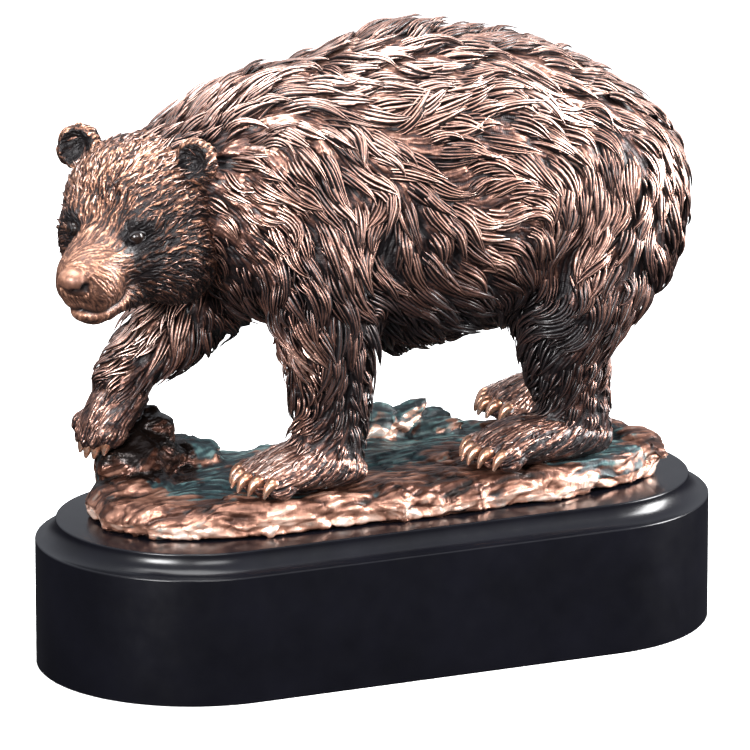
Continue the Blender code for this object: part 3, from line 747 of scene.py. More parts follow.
def traced_locks(surface, roots, length, seed, scatter, curl, swirl):
    """The middle line of each lock: places on the surface, normals and sideways directions by steps."""
    rng = np.random.default_rng(seed)
    count = len(roots)
    lengths = np.broadcast_to(length, count) * rng.uniform(0.75, 1.25, count)
    lean = rng.normal(0, scatter, count)
    hook = rng.normal(0, curl, count)
    places, normals = settle(surface, roots)
    points, ups, across = [], [], []
    for share in np.linspace(0, 1, LOCK_STEPS):
        ways = lie_of_fur(places, normals, swirl, lean + hook * (share - 0.35))
        points.append(places)
        ups.append(normals)
        across.append(np.cross(normals, ways))
        places, after = settle(surface, places + ways * (lengths / (LOCK_STEPS - 1))[:, None])
        normals = unit_rows(normals * 0.45 + after * 0.55)
    return np.stack(points, 1), np.stack(ups, 1), np.stack(across, 1)


def at_shares(rows, shares):
    """Values between the steps of rows, shaped locks by steps, at shares shaped locks by strands by steps."""
    place = np.clip(shares, 0, 1) * (rows.shape[1] - 1)
    low = np.minimum(place.astype(int), rows.shape[1] - 2)
    part = place - low
    lock = np.arange(len(rows))[:, None, None]
    if rows.ndim == 3:
        part = part[..., None]
    return rows[lock, low] * (1 - part) + rows[lock, low + 1] * part


def strands_of(lines, seed, strands, half_width, thickness, dome, lift, tip_rise=0.0, steps=8):
    """Strands laid side by side along each lock. They run together to its tip, the middle ones longest."""
    rng = np.random.default_rng(seed)
    points, ups, across = lines
    count = len(points)
    side = np.linspace(-1, 1, strands)[None, :] if strands > 1 else np.zeros((1, 1))
    side = side + rng.normal(0, 0.5 / strands, (count, strands)) * (strands > 1)
    start = rng.uniform(0.0, 0.22, (count, strands))
    end = 1 - 0.30 * np.abs(side) ** 1.5 - rng.uniform(0.0, 0.16, (count, strands))
    share = np.linspace(0, 1, steps)
    shares = start[..., None] + (end - start)[..., None] * share
    spread_out = np.interp(shares, np.linspace(0, 1, LOCK_STEPS), LOCK_SPREAD)
    rise = np.interp(shares, np.linspace(0, 1, LOCK_STEPS), LOCK_LIFT)
    wide = np.broadcast_to(half_width, count)[:, None, None]
    wave = rng.uniform(0.0, 0.35, (count, strands))[..., None]
    phase = rng.uniform(0, 2 * math.pi, (count, strands))[..., None]
    sideways = side[..., None] * wide * spread_out + wave * np.sin(5.5 * shares + phase)
    height = rise + dome * (1 - side[..., None] ** 2) * np.sin(math.pi * np.clip(shares, 0.05, 0.9))
    height = height + np.broadcast_to(lift, count)[:, None, None] + tip_rise * shares ** 2
    height = height + rng.normal(0, 0.16, (count, strands))[..., None] * (0.4 + shares)
    places = at_shares(points, shares) + at_shares(across, shares) * sideways[..., None]
    places = places + at_shares(ups, shares) * height[..., None]
    thick = np.broadcast_to(thickness, count)[:, None, None] * rng.uniform(0.6, 1.35, (count, strands))[..., None]
    taper = np.interp(share, (0, 0.2, 0.45, 0.7, 0.88, 1), (0.15, 0.85, 1.0, 0.78, 0.45, 0.08))
    tone = 0.6 * rng.uniform(-1, 1, (count, 1)) + 0.4 * rng.uniform(-1, 1, (count, strands))
    shape = (count * strands, steps)
    return {
        "points": places.reshape(*shape, 3),
        "across": at_shares(across, shares).reshape(*shape, 3),
        "size": (thick * taper).reshape(shape),
        "along": np.broadcast_to(shares, (count, strands, steps)).reshape(shape),
        "tone": np.broadcast_to(tone[..., None], (count, strands, steps)).reshape(shape),
    }


# ---- finishes -----------------------------------------------------------------------------------


def new_finish(name):
    material = bpy.data.materials.new(name)
    material.use_nodes = True
    tree = material.node_tree
    return material, tree, tree.nodes["Principled BSDF"]


def colour_ramp(tree, stops):
    ramp = add_node(tree, "ShaderNodeValToRGB")
    elements = ramp.color_ramp.elements
    while len(elements) < len(stops):
        elements.new(0.5)
    for element, (place, colour) in zip(elements, stops):
        element.position = place
        element.color = (*colour, 1.0)
    return ramp


def object_noise(tree, size, detail=3.0, roughness=0.55):
    """Noise on the piece's own coordinates; size is its grain in metres."""
    coordinates = add_node(tree, "ShaderNodeTexCoord")
    texture = add_node(tree, "ShaderNodeTexNoise")
    texture.inputs["Scale"].default_value = 1 / size
    texture.inputs["Detail"].default_value = detail
    texture.inputs["Roughness"].default_value = roughness
    tree.links.new(coordinates.outputs["Object"], texture.inputs["Vector"])
    return texture.outputs[0]


def mapped(tree, value, low, high, out_low, out_high):
    node = add_node(tree, "ShaderNodeMapRange")
    for name, number in (("From Min", low), ("From Max", high), ("To Min", out_low), ("To Max", out_high)):
        node.inputs[name].default_value = number
    tree.links.new(value, node.inputs["Value"])
    return node.outputs["Result"]


def combined(tree, operation, a, b):
    node = add_node(tree, "ShaderNodeMath", operation=operation)
    for socket, value in zip(node.inputs, (a, b)):
        if isinstance(value, (int, float)):
            socket.default_value = value
        else:
            tree.links.new(value, socket)
    return node.outputs[0]


def added(tree, *values):
    total = values[0]
    for value in values[1:]:
        total = combined(tree, "ADD", total, value)
    return total


def attribute(tree, name):
    return add_node(tree, "ShaderNodeAttribute", attribute_name=name).outputs["Fac"]


def add_bump(tree, shader, height, distance, strength=1.0):
    bump = add_node(tree, "ShaderNodeBump")
    bump.inputs["Distance"].default_value = distance
    bump.inputs["Strength"].default_value = strength
    tree.links.new(height, bump.inputs["Height"])
    tree.links.new(bump.outputs["Normal"], shader.inputs["Normal"])


PATINA = (
    (0.0, (0.006, 0.004, 0.005)),
    (0.25, (0.028, 0.013, 0.012)),
    (0.5, (0.15, 0.070, 0.052)),
    (0.72, (0.50, 0.27, 0.20)),
    (1.0, (0.97, 0.75, 0.67)),
)
FACE_PATINA = (
    (0.0, (0.006, 0.004, 0.005)),
    (0.25, (0.031, 0.015, 0.012)),
    (0.5, (0.18, 0.083, 0.055)),
    (0.72, (0.60, 0.31, 0.20)),
    (1.0, (1.0, 0.74, 0.60)),
)


def strand_pattern(tree, width, reach, samples):
    """Fine strands along the way attribute, from 0 in the grooves to 1 on the crests; sizes in metres."""
    coordinates = add_node(tree, "ShaderNodeTexCoord")
    way = add_node(tree, "ShaderNodeAttribute", attribute_name="way")
    scaled = add_node(tree, "ShaderNodeVectorMath", operation="SCALE")
    scaled.inputs["Scale"].default_value = 1 / width
    tree.links.new(coordinates.outputs["Object"], scaled.inputs[0])
    grains = []
    for k in range(samples):
        step = (2 * k / (samples - 1) - 1) * reach / width
        shifted = add_node(tree, "ShaderNodeVectorMath", operation="MULTIPLY_ADD")
        shifted.inputs[1].default_value = (step, step, step)
        tree.links.new(way.outputs["Vector"], shifted.inputs[0])
        tree.links.new(scaled.outputs[0], shifted.inputs[2])
        grain = add_node(tree, "ShaderNodeTexNoise")
        grain.inputs["Scale"].default_value = 1.0
        grain.inputs["Detail"].default_value = 0.0
        tree.links.new(shifted.outputs[0], grain.inputs["Vector"])
        grains.append(grain.outputs[0])
    middle = 0.5 * samples
    return mapped(tree, added(tree, *grains), middle - 0.07 * samples, middle + 0.07 * samples, 0.0, 1.0)


def bronze_finish(name, brightness, strand_width=0.0, strand_reach=0.0, coat=0.5, patina=PATINA):
    """Dark bronze in the hollows, rubbed to pink copper on the crests, with painted light on what faces up and painted
    shade on what faces down.

    With a strand width the finish also draws and carves fine strands along the way attribute.
    """
    material, tree, shader = new_finish(name)
    grain = object_noise(tree, 0.0007, 3.0)
    bareness = 1.0
    if strand_width:
        strands = strand_pattern(tree, strand_width, strand_reach, 11)
        furred = attribute(tree, "furred")
        broad = mapped(tree, attribute(tree, "ridge"), 0.0, 1.0, -0.22, 0.22)
        drawn = combined(tree, "MULTIPLY", mapped(tree, strands, 0.0, 1.0, -0.24, 0.24), furred)
        crest = added(tree, broad, drawn)
        carved = combined(tree, "MULTIPLY", strands, furred)
        add_bump(tree, shader, added(tree, carved, mapped(tree, grain, 0.0, 1.0, 0.0, 0.2)), 0.00045, 0.9)
        bareness = mapped(tree, furred, 0.0, 1.0, 0.5, 1.0)
    else:
        ridge = attribute(tree, "ridge")
        crest = mapped(tree, combined(tree, "MULTIPLY", ridge, ridge), 0.0, 1.0, -0.36, 0.38)
        add_bump(tree, shader, grain, 0.00025, 0.7)
    tone = mapped(tree, attribute(tree, "tone"), -1.0, 1.0, -0.20, 0.20)
    # Painted shade at the strands' roots, under the locks that lie over them, and painted light at their tips.
    tip = mapped(tree, attribute(tree, "along"), 0.1, 0.9, -0.16, 0.16)
    shade = mapped(tree, attribute(tree, "shade"), 0.0, 1.0, 0.0, -0.75)
    patches = mapped(tree, object_noise(tree, 0.026, 4.0), 0.3, 0.7, -0.20, 0.20)
    specks = mapped(tree, object_noise(tree, 0.0016, 3.0), 0.3, 0.7, -0.08, 0.08)
    # Painted light and shade: lighter where the surface faces up, darker where it faces down.
    facing = add_node(tree, "ShaderNodeSeparateXYZ")
    geometry = add_node(tree, "ShaderNodeNewGeometry")
    tree.links.new(geometry.outputs["Normal"], facing.inputs[0])
    painted_light_and_shade_by_facing = mapped(tree, facing.outputs["Z"], -0.6, 1.0, -0.32, 0.16)
    # Lighter higher up, darker towards the bottom: partly less rubbing low down, partly painted shade.
    where = add_node(tree, "ShaderNodeSeparateXYZ")
    coordinates = add_node(tree, "ShaderNodeTexCoord")
    tree.links.new(coordinates.outputs["Object"], where.inputs[0])
    lighter_higher_up = mapped(tree, where.outputs["Z"], 0.075, 0.175, -0.02, 0.06)
    # This sum holds the rubbed wear and patina together with the painted light and shade above.
    wear = added(tree, crest, tone, tip, shade, patches, specks, painted_light_and_shade_by_facing, lighter_higher_up, brightness)
    ramp = colour_ramp(tree, patina)
    tree.links.new(wear, ramp.inputs["Fac"])
    tree.links.new(ramp.outputs["Color"], shader.inputs["Base Color"])
    tree.links.new(mapped(tree, wear, 0.1, 0.9, 0.50, 0.33), shader.inputs["Roughness"])
    metal = combined(tree, "MULTIPLY", mapped(tree, wear, 0.15, 0.6, 0.40, 0.88), bareness)
    tree.links.new(metal, shader.inputs["Metallic"])
    shader.inputs["Coat Weight"].default_value = coat
    shader.inputs["Coat Roughness"].default_value = 0.2
    return material


def claw_finish():
    material, tree, shader = new_finish("rubbed_copper_claw")
    ramp = colour_ramp(tree, ((0.25, (0.34, 0.15, 0.085)), (0.5, (0.72, 0.38, 0.25)), (0.75, (0.95, 0.68, 0.54))))
    length = mapped(tree, attribute(tree, "along"), 0.0, 1.0, -0.16, 0.10)
    wear = added(tree, length, object_noise(tree, 0.0015, 3.0))
    tree.links.new(wear, ramp.inputs["Fac"])
    tree.links.new(ramp.outputs["Color"], shader.inputs["Base Color"])
    tree.links.new(mapped(tree, wear, 0.3, 0.7, 0.36, 0.24), shader.inputs["Roughness"])
    shader.inputs["Metallic"].default_value = 0.9
    return material


def eye_finish():
    material, tree, shader = new_finish("dark_glossy_eye")
    ramp = colour_ramp(tree, ((0.35, (0.004, 0.003, 0.003)), (0.65, (0.022, 0.013, 0.010))))
    tree.links.new(object_noise(tree, 0.0012), ramp.inputs["Fac"])
    tree.links.new(ramp.outputs["Color"], shader.inputs["Base Color"])
    shader.inputs["Roughness"].default_value = 0.2
    return material


def rock_finish():
    """Copper on the rim, brown above, dark glaze on the boulder and in the cracks, blue-green by the feet."""
    material, tree, shader = new_finish("patinated_rock")
    strokes = strand_pattern(tree, 0.0016, 0.004, 9)
    relief = mapped(tree, attribute(tree, "ridge"), 0.0, 1.0, -0.28, 0.20)
    rim = mapped(tree, attribute(tree, "rim"), 0.0, 1.0, -0.16, 0.23)
    patches = mapped(tree, object_noise(tree, 0.016, 5.0), 0.3, 0.7, -0.12, 0.12)
    drawn = mapped(tree, strokes, 0.0, 1.0, -0.10, 0.10)
    glaze = mapped(tree, attribute(tree, "glaze"), 0.0, 1.0, 0.0, -0.38)
    wear = added(tree, relief, rim, patches, drawn, glaze, 0.48)
    ramp = colour_ramp(tree, (
        (0.0, (0.010, 0.006, 0.005)),
        (0.25, (0.085, 0.034, 0.022)),
        (0.5, (0.42, 0.21, 0.145)),
        (0.72, (0.80, 0.53, 0.42)),
        (1.0, (1.0, 0.88, 0.81)),
    ))
    tree.links.new(wear, ramp.inputs["Fac"])
    teal = colour_ramp(tree, ((0.1, (0.004, 0.012, 0.016)), (0.5, (0.014, 0.048, 0.055)), (0.95, (0.09, 0.19, 0.19))))
    tree.links.new(mapped(tree, added(tree, strokes, attribute(tree, "ridge")), 0.4, 1.6, 0.0, 1.0), teal.inputs["Fac"])
    coverage = mapped(
        tree, added(tree, attribute(tree, "verdigris"), object_noise(tree, 0.004, 5.0)), 0.85, 1.15, 0.0, 0.92
    )
    mix = add_node(tree, "ShaderNodeMix", data_type="RGBA")
    tree.links.new(coverage, mix.inputs[0])
    tree.links.new(ramp.outputs["Color"], mix.inputs[6])
    tree.links.new(teal.outputs["Color"], mix.inputs[7])
    tree.links.new(mix.outputs[2], shader.inputs["Base Color"])
    tree.links.new(mapped(tree, coverage, 0.0, 1.0, 0.62, 0.15), shader.inputs["Metallic"])
    gloss = mapped(tree, attribute(tree, "glaze"), 0.0, 1.0, 0.0, -0.18)
    matt = mapped(tree, coverage, 0.0, 1.0, 0.0, 0.18)
    tree.links.new(added(tree, mapped(tree, wear, 0.1, 0.9, 0.42, 0.34), gloss, matt), shader.inputs["Roughness"])
    height = added(tree, strokes, mapped(tree, object_noise(tree, 0.0012, 4.0), 0.0, 1.0, 0.0, 0.4))
    add_bump(tree, shader, height, 0.0003, 0.8)
    return material


def lacquer_finish():
    material, tree, shader = new_finish("black_lacquer")
    ramp = colour_ramp(tree, ((0.3, (0.0022, 0.0022, 0.0034)), (0.7, (0.0035, 0.0035, 0.0056))))
    cloud = object_noise(tree, 0.020, 4.0)
    tree.links.new(cloud, ramp.inputs["Fac"])
    tree.links.new(ramp.outputs["Color"], shader.inputs["Base Color"])
    tree.links.new(mapped(tree, object_noise(tree, 0.006, 4.0), 0.3, 0.7, 0.22, 0.27), shader.inputs["Roughness"])
    shader.inputs["Specular IOR Level"].default_value = 0.3
    shader.inputs["Coat Weight"].default_value = 0.05
    shader.inputs["Coat Roughness"].default_value = 0.2
    add_bump(tree, shader, object_noise(tree, 0.0011, 3.0), 0.00002, 0.35)
    return material


HAIR = bronze_finish("rubbed_bronze_hair", 0.47)
SKIN = bronze_finish("bronze_undercoat", 0.33, 0.00105, 0.0034, 0.12)
FACE = bronze_finish("bronze_face", 0.385, 0.0007, 0.0010, 0.1, FACE_PATINA)
PAW = bronze_finish("bronze_paws", 0.36, 0.0008, 0.0018, 0.3)
CLAW = claw_finish()
EYE = eye_finish()
ROCK = rock_finish()
LACQUER = lacquer_finish()


# ---- pieces -------------------------------------------------------------------------------------


def to_frame(piece, slot, *replaced):
    """Puts a finished piece in the frame's metres and hands it to the frame."""
    piece.data.transform(TO_METRES)
    points, _ = read_points(piece.data)
    low = np.array(cad_low) + 0.02 * MM
    high = np.array(cad_high) - 0.02 * MM
    write_points(piece.data, np.clip(points, low, high))
    piece.data.shade_smooth()
    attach(piece, "root")
    if replaced:
        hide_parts(*replaced)
    piece.data.calc_loop_triangles()
    print(piece.name, len(piece.data.loop_triangles), "triangles")
    return piece


def finished(piece, material):
    piece.data.materials.clear()
    piece.data.materials.append(material)
    return piece


bear_form = fused("bear_form", bear_forms(), FORM_VOXEL, FORM_SMOOTHING)
BEAR_SURFACE = surface_of(bear_form.data)
NOSE = np.array(HEAD @ Vector(NOSE_PLACE))


def belly_shade(points):
    """How much painted shade lies under the belly, between the forelegs and the hind legs."""
    low = np.clip((BELLY_SHADE_TOP - points[:, 2]) / BELLY_SHADE_FADE, 0, 1)
    between = np.clip((BELLY_SHADE_HALF - np.abs(points[:, 0] - BELLY_MIDDLE)) / BELLY_SHADE_FADE, 0, 1)
    return BELLY_SHADE * low * between


def make_skin():
    """The undercoat with its carved waves, sunk so that the locks bring it back to its outline."""
    skin = fused("bear_skin", mesh_of(bear_form), SKIN_VOXEL, 5)
    points, normals = read_points(skin.data)
    ways = lie_of_fur(points, normals)
    waves = streaks(points, ways, 9.0, 4.2)
    from_nose = np.linalg.norm(points - NOSE, axis=1)
    low = np.clip((18 - points[:, 2]) / 6, 0, 1)
    head = np.clip((54 - from_nose) / 4, 0, 1)
    sink = 1.5 + 0.3 * head - 0.8 * low
    relief = 0.8 - 0.5 * low
    write_points(skin.data, points + normals * (relief * waves - sink)[:, None])
    write_attribute(skin.data, "ridge", 0.5 + 0.5 * waves)
    write_attribute(skin.data, "tone", np.zeros(len(points)))
    write_attribute(skin.data, "along", np.full(len(points), 0.45))
    write_attribute(skin.data, "furred", np.ones(len(points)))
    write_attribute(skin.data, "shade", belly_shade(points))
    write_ways(skin.data, ways)
    return to_frame(finished(skin, SKIN), "bronzed_resin", "bear_on_rock")


def head_units(points):
    inverse = np.array(HEAD.inverted())
    return points @ inverse[:3, :3].T + inverse[:3, 3]


def both_sides(points):
    """The points with y turned to the far side, so that one side's features serve both."""
    return points * (1, 0, 1) + np.abs(points) * (0, 1, 0)


def distance_to_line(points, line):
    """The distance of each point from a line of straight stretches."""
    best = np.full(len(points), 1e9)
    for start, end in zip(np.array(line, float), np.array(line, float)[1:]):
        run = end - start
        share = np.clip((points - start) @ run / (run @ run), 0, 1)
        best = np.minimum(best, np.linalg.norm(points - start - share[:, None] * run, axis=1))
    return best


def bell(distance, reach):
    return np.exp(-(distance / reach) ** 2)


def ear_matrix(side):
    roll, pitch, yaw = (math.radians(a) for a in EAR_TURN)
    turn = Euler((-side * roll, pitch, side * yaw)).to_matrix().to_4x4()
    spot = Matrix.Translation((EAR_PLACE[0], side * EAR_PLACE[1], EAR_PLACE[2]))
    return HEAD @ spot @ turn @ Matrix.Diagonal((*EAR_SIZE, 1.0))


def add_ears(bm):
    """Each ear is a round cupped shell, made from a flat ball with its hollow pressed in."""
    for side in (-1, 1):
        ear = bmesh.new()
        bmesh.ops.create_icosphere(ear, subdivisions=5, radius=1.0)
        for v in ear.verts:
            rim = math.hypot(v.co.y, v.co.z)
            hollow = max(0.0, 1 - (rim / EAR_HOLLOW_SHARE) ** 2)
            if v.co.x > 0:
                v.co.x -= EAR_HOLLOW_DEPTH * hollow
            v.co.x -= EAR_BEND * rim
        ear.transform(ear_matrix(side))
        take_over(bm, ear)


def in_ear_units(points):
    """The points as each ear sees them, which is a ball of radius 1 there."""
    for side in (-1, 1):
        inverse = np.array(ear_matrix(side).inverted())
        yield points @ inverse[:3, :3].T + inverse[:3, 3]


def ear_hollow_at(points):
    """1 in the hollow of an ear, 0 away from it."""
    inside = np.zeros(len(points))
    for local in in_ear_units(points):
        rim = np.linalg.norm(local[:, 1:], axis=1)
        cup = np.clip((0.78 - rim) / 0.15, 0, 1) * (local[:, 0] > -0.9) * (local[:, 0] < 0.6)
        inside = np.maximum(inside, cup)
    return inside


def ear_rim_at(points):
    """1 on the rim of an ear, 0 away from it."""
    on_rim = np.zeros(len(points))
    for local in in_ear_units(points):
        rim = np.linalg.norm(local[:, 1:], axis=1)
        on_rim = np.maximum(on_rim, bell(rim - 1.0, 0.2) * (np.abs(local[:, 0]) < 1.3))
    return on_rim


def clear_of_ears(points):
    nearest = [np.linalg.norm(local * (0.5, 1, 1), axis=1) for local in in_ear_units(points)]
    return np.minimum(*nearest) > 1.15


def make_head():
    """The head with its face carved: eye sockets, mouth, nostrils, ear hollows and the short hair's grain."""
    bm = bmesh.new()
    add_loft(bm, NECK[-2:], upright=True)
    head_masses(bm)
    plain = fused("head_form", bm, FORM_VOXEL, FORM_SMOOTHING)
    bm = mesh_of(plain)
    bpy.data.objects.remove(plain)
    add_ears(bm)
    add_ball(bm, (NOSE_PLACE[0], NOSE_ASIDE, NOSE_PLACE[2]), NOSE_SIZE, HEAD, (0, NOSE_TILT, 0), 4)
    head = fused("bear_head", bm, HEAD_VOXEL, 3)
    points, normals = read_points(head.data)
    face = both_sides(head_units(points))
    snout = both_sides(head_units(points) - (0, NOSE_ASIDE, 0))
    eye = np.linalg.norm(face - EYE_PLACE, axis=1)
    mouth = distance_to_line(face * MOUTH_REACH, np.array(MOUTH) * MOUTH_REACH)
    philtrum = distance_to_line(snout, PHILTRUM)
    nostril = distance_to_line(snout, NOSTRIL)
    nose = np.linalg.norm((snout - NOSE_PLACE) / NOSE_SIZE, axis=1)
    bridge = distance_to_line(face, ((24, 0, 6.0), (6, 0, 15.5)))
    pad = np.clip((1.22 - nose) / 0.1, 0, 1)
    hollow = ear_hollow_at(points)
    from_nose = np.linalg.norm(points - NOSE, axis=1)
    hairy = np.clip((from_nose - 9) / 12, 0, 1) * (1 - bell(eye, 4.2)) * (1 - bell(mouth, 2.0))
    ways = lie_of_fur(points, normals, 0.5, 0.7 * noise_at(points, 5.0, 2.0))
    fine = streaks(points, ways, 1.4, 1.1)
    push = (0.22 + 0.15 * np.clip((from_nose - 20) / 25, 0, 1)) * fine * hairy
    push -= 1.5 * bell(eye, 3.6)
    push += 0.9 * bell(np.linalg.norm(face - (13.6, 11.4, 5.6), axis=1), 3.4)
    push -= 0.95 * bell(mouth, 0.6)
    push += 0.35 * bell(mouth - 1.9, 1.1)
    push -= 0.7 * bell(philtrum, 0.6)
    push -= 2.0 * bell(nostril, 1.0)
    push -= 0.45 * bell(bridge, 2.6)
    push -= 0.45 * bell(np.abs(nose - 1.26), 0.10) * (face[:, 2] < 0.5)
    write_points(head.data, points + normals * push[:, None])
    dark = 0.8 * bell(mouth, 0.6) + bell(nostril, 1.1) + 1.3 * bell(eye, 4.0) + 0.4 * bell(philtrum, 0.5) + hollow
    muzzle = np.clip((27 - from_nose) / 10, 0, 1)
    jaw = np.clip((-12 - face[:, 2]) / 2, 0, 1) * np.clip((face[:, 0] - 20) / 5, 0, 1)
    write_attribute(head.data, "ridge", np.clip(0.45 + 0.5 * fine * hairy + 0.12 * muzzle + 0.1 * pad, 0, 1))
    # Painted light: the muzzle is lighter the more it faces down, and the jaw's underside is lighter, against the
    # painted shade of downward faces. The ear rims are lighter and the nose pad darker.
    tone = muzzle * (0.6 - 0.6 * normals[:, 2]) + 0.8 * jaw + 0.9 * ear_rim_at(points) - 0.6 * pad
    write_attribute(head.data, "tone", np.clip(tone, -1, 1))
    # A higher along on the muzzle and jaw puts more painted light there through the finish.
    write_attribute(head.data, "along", 0.4 + 0.3 * np.maximum(muzzle, jaw))
    write_attribute(head.data, "shade", np.clip(dark, 0, 1))
    write_attribute(head.data, "furred", (1 - pad) * (1 - bell(mouth, 1.6)) * (0.5 + 0.5 * (1 - muzzle)))
    write_ways(head.data, ways)
    return finished(head, FACE)


def off_the_face(points):
    """True where short hair grows on the head."""
    face = both_sides(head_units(points))
    from_nose = np.linalg.norm(points - NOSE, axis=1)
    eye = np.linalg.norm(face - EYE_PLACE, axis=1)
    mouth = distance_to_line(face, MOUTH)
    return (from_nose > 27) & (eye > 5.0) & (mouth > 4.0) & (ear_hollow_at(points) < 0.05)


def face_hair(head):
    """Short strokes of hair over the head, longer away from the nose."""
    surface = surface_of(head.data)

    def wanted(points, normals):
        return off_the_face(points) & (away_from_face(points) < 62) & (points[:, 0] < -60)

    roots = spread(head.data, 1.75, 60000, 21, wanted)
    share = np.clip((away_from_face(roots) - 26) / 24, 0, 1)
    lines = traced_locks(surface, roots, 2.8 + 4.2 * share, 22, 0.28, 0.5, 0.5)
    paths = strands_of(lines, 23, 1, 0.0, 0.32 + 0.20 * share, 0.0, 0.15 - 0.10 * share, steps=5)
    return swept_piece("face_hair", paths, STRAND, HAIR, 0.1, 2.0)


def away_from_face(points):
    return np.linalg.norm(points - NOSE, axis=1)


def on_trunk(points, normals):
    return (points[:, 2] > 46) & (away_from_face(points) > 60) & (normals[:, 2] > -0.8) & clear_of_ears(points)


def on_legs_and_ruff(points, normals):
    away = away_from_face(points)
    low = (points[:, 2] > 11) & (points[:, 2] < 56) & (away > 50)
    ruff = (away > 46) & (away < 68) & (points[:, 2] > 46) & clear_of_ears(points)
    return low | ruff | ((normals[:, 2] < -0.7) & (away > 60))


# Layer of the coat: where it grows, spacing, length, strands, half width, strand thickness, dome, lift, tip rise.
COAT = (
    ("trunk_locks", on_trunk, 5.5, 21.0, 6, 2.8, 0.64, 1.0, -0.15, 0.1),
    ("leg_and_ruff_locks", on_legs_and_ruff, 4.3, 12.0, 4, 1.8, 0.52, 0.5, -0.2, -0.45),
    ("loose_locks", on_trunk, 10.0, 17.0, 5, 1.8, 0.62, 1.2, 0.5, 0.5),
)
COAT_CANDIDATES = 20000
ANKLE_HEIGHT = 30.0


def make_coat():
    for order, (name, grows, spacing, length, strands, wide, thick, dome, lift, tip_rise) in enumerate(COAT):
        seed = 30 + 10 * order
        roots = spread(bear_form.data, spacing, COAT_CANDIDATES, seed, grows)
        roots = roots[np.argsort(roots[:, 0], kind="stable")]
        half = len(roots) // 2
        for end, (part, some) in enumerate((("fore", roots[:half]), ("hind", roots[half:]))):
            reach = length * np.clip(some[:, 2] / ANKLE_HEIGHT, 0.45, 1)
            lines = traced_locks(BEAR_SURFACE, some, reach, seed + 1 + end, 0.16, 0.75, 1.0)
            paths = strands_of(lines, seed + 3 + end, strands, wide, thick, dome, lift, tip_rise)
            piece = swept_piece(f"{part}_{name}", paths, STRAND, HAIR, 0.3, 3.0)
            write_attribute(piece.data, "shade", belly_shade(read_points(piece.data)[0]))
            to_frame(piece, "bronzed_resin", "bear_on_rock")


def toe_line(paw):
    """The knuckles of a paw, with the way its toes point and its claws' drop."""
    centre, way, drop, half = paw
    ahead = Vector(way).normalized()
    across = Vector((0, 0, 1)).cross(ahead).normalized()
    for k in range(TOES):
        share = 2 * k / (TOES - 1) - 1
        yield Vector(centre) + across * share * half - ahead * TOE_ARC * share * share, ahead, across, drop


def toe_grooves(points):
    """1 along the middle of the grooves between the toes, 0 away from them."""
    nearest = np.full(len(points), 1e9)
    for paw in PAWS:
        toes = list(toe_line(paw))
        for (left, ahead, _, _), (right, _, _, _) in zip(toes, toes[1:]):
            middle = (left + right) / 2
            groove = (middle + ahead * TOE_GROOVE_AHEAD, middle - ahead * TOE_GROOVE_BACK + Vector((0, 0, 3.0)))
            nearest = np.minimum(nearest, distance_to_line(points * (1, 1, 0.35), np.array(groove) * (1, 1, 0.35)))
    return bell(nearest, TOE_GROOVE_REACH)


def make_paws():
    bm = bmesh.new()
    for stations in PAW_SECTIONS:
        add_loft(bm, stations)
    plain = fused("paw_form", bm, 1.2, 4)
    bm = mesh_of(plain)
    bpy.data.objects.remove(plain)
    for paw in PAWS:
        for knuckle, ahead, _, _ in toe_line(paw):
            spin = (0, 0, math.degrees(math.atan2(ahead.y, ahead.x)))
            add_ball(bm, knuckle, TOE_SIZE, turn=spin)
    paws = fused("bear_paws", bm, PAW_VOXEL, 3)
    points, normals = read_points(paws.data)
    ways = lie_of_fur(points, normals, 0.3)
    fine = streaks(points, ways, 3.0, 1.5)
    groove = toe_grooves(points)
    write_points(paws.data, points + normals * (0.3 * fine - TOE_GROOVE_DEPTH * groove)[:, None])
    write_attribute(paws.data, "ridge", np.clip(0.5 + 0.45 * fine - 0.5 * groove, 0, 1))
    write_attribute(paws.data, "tone", np.full(len(points), 0.3))
    write_attribute(paws.data, "along", np.full(len(points), 0.6))
    write_attribute(paws.data, "furred", np.ones(len(points)))
    write_ways(paws.data, ways)
    return finished(paws, PAW)


def paw_hair(paws):
    surface = surface_of(paws.data)

    def wanted(points, normals):
        return (points[:, 2] > 4) & (normals[:, 2] > -0.2) & (toe_grooves(points) < 0.2)

    roots = spread(paws.data, 2.3, 30000, 61, wanted)
    lines = traced_locks(surface, roots, 4.2, 62, 0.15, 0.3, 0.3)
    paths = strands_of(lines, 63, 1, 0.0, 0.34, 0.0, -0.15, steps=5)
    return swept_piece("paw_hair", paths, STRAND, HAIR, 0.12, 2.0)


def round_section(name, sides=10):
    turns = (2 * math.pi * k / sides for k in range(sides))
    return section_object(name, [(math.cos(a), math.sin(a), 0.5 + 0.5 * math.sin(a)) for a in turns])


def make_claws():
    """Twenty curved claws, swept from thick roots to thin tips."""
    points, across, sizes = [], [], []
    steps = len(CLAW_SIZES)
    for paw in PAWS:
        for knuckle, ahead, sideways, drop in toe_line(paw):
            root = knuckle + ahead * CLAW_START + Vector((0, 0, CLAW_RISE))
            tip = root + ahead * CLAW_LENGTH - Vector((0, 0, drop + 0.6))
            bend = root + ahead * 0.62 * CLAW_LENGTH + Vector((0, 0, 0.9))
            path = []
            for k in range(steps):
                t = k / (steps - 1)
                path.append(root * (1 - t) ** 2 + bend * 2 * t * (1 - t) + tip * t * t)
            points.append(path)
            across.append([sideways] * steps)
            sizes.append(CLAW_SIZES)
    count = len(points)
    share = np.linspace(0, 1, steps)
    paths = {
        "points": np.array(points),
        "across": np.array(across),
        "size": np.array(sizes),
        "along": np.broadcast_to(share, (count, steps)).copy(),
        "tone": np.zeros((count, steps)),
    }
    return swept_piece("claws", paths, round_section("claw_section"), CLAW)


def make_eyes():
    bm = bmesh.new()
    for side in (-1, 1):
        centre = (EYE_PLACE[0], side * EYE_PLACE[1], EYE_PLACE[2])
        add_ball(bm, centre, (EYE_RADIUS,) * 3, HEAD, fineness=4)
    return finished(new_object("eyes", bm), EYE)


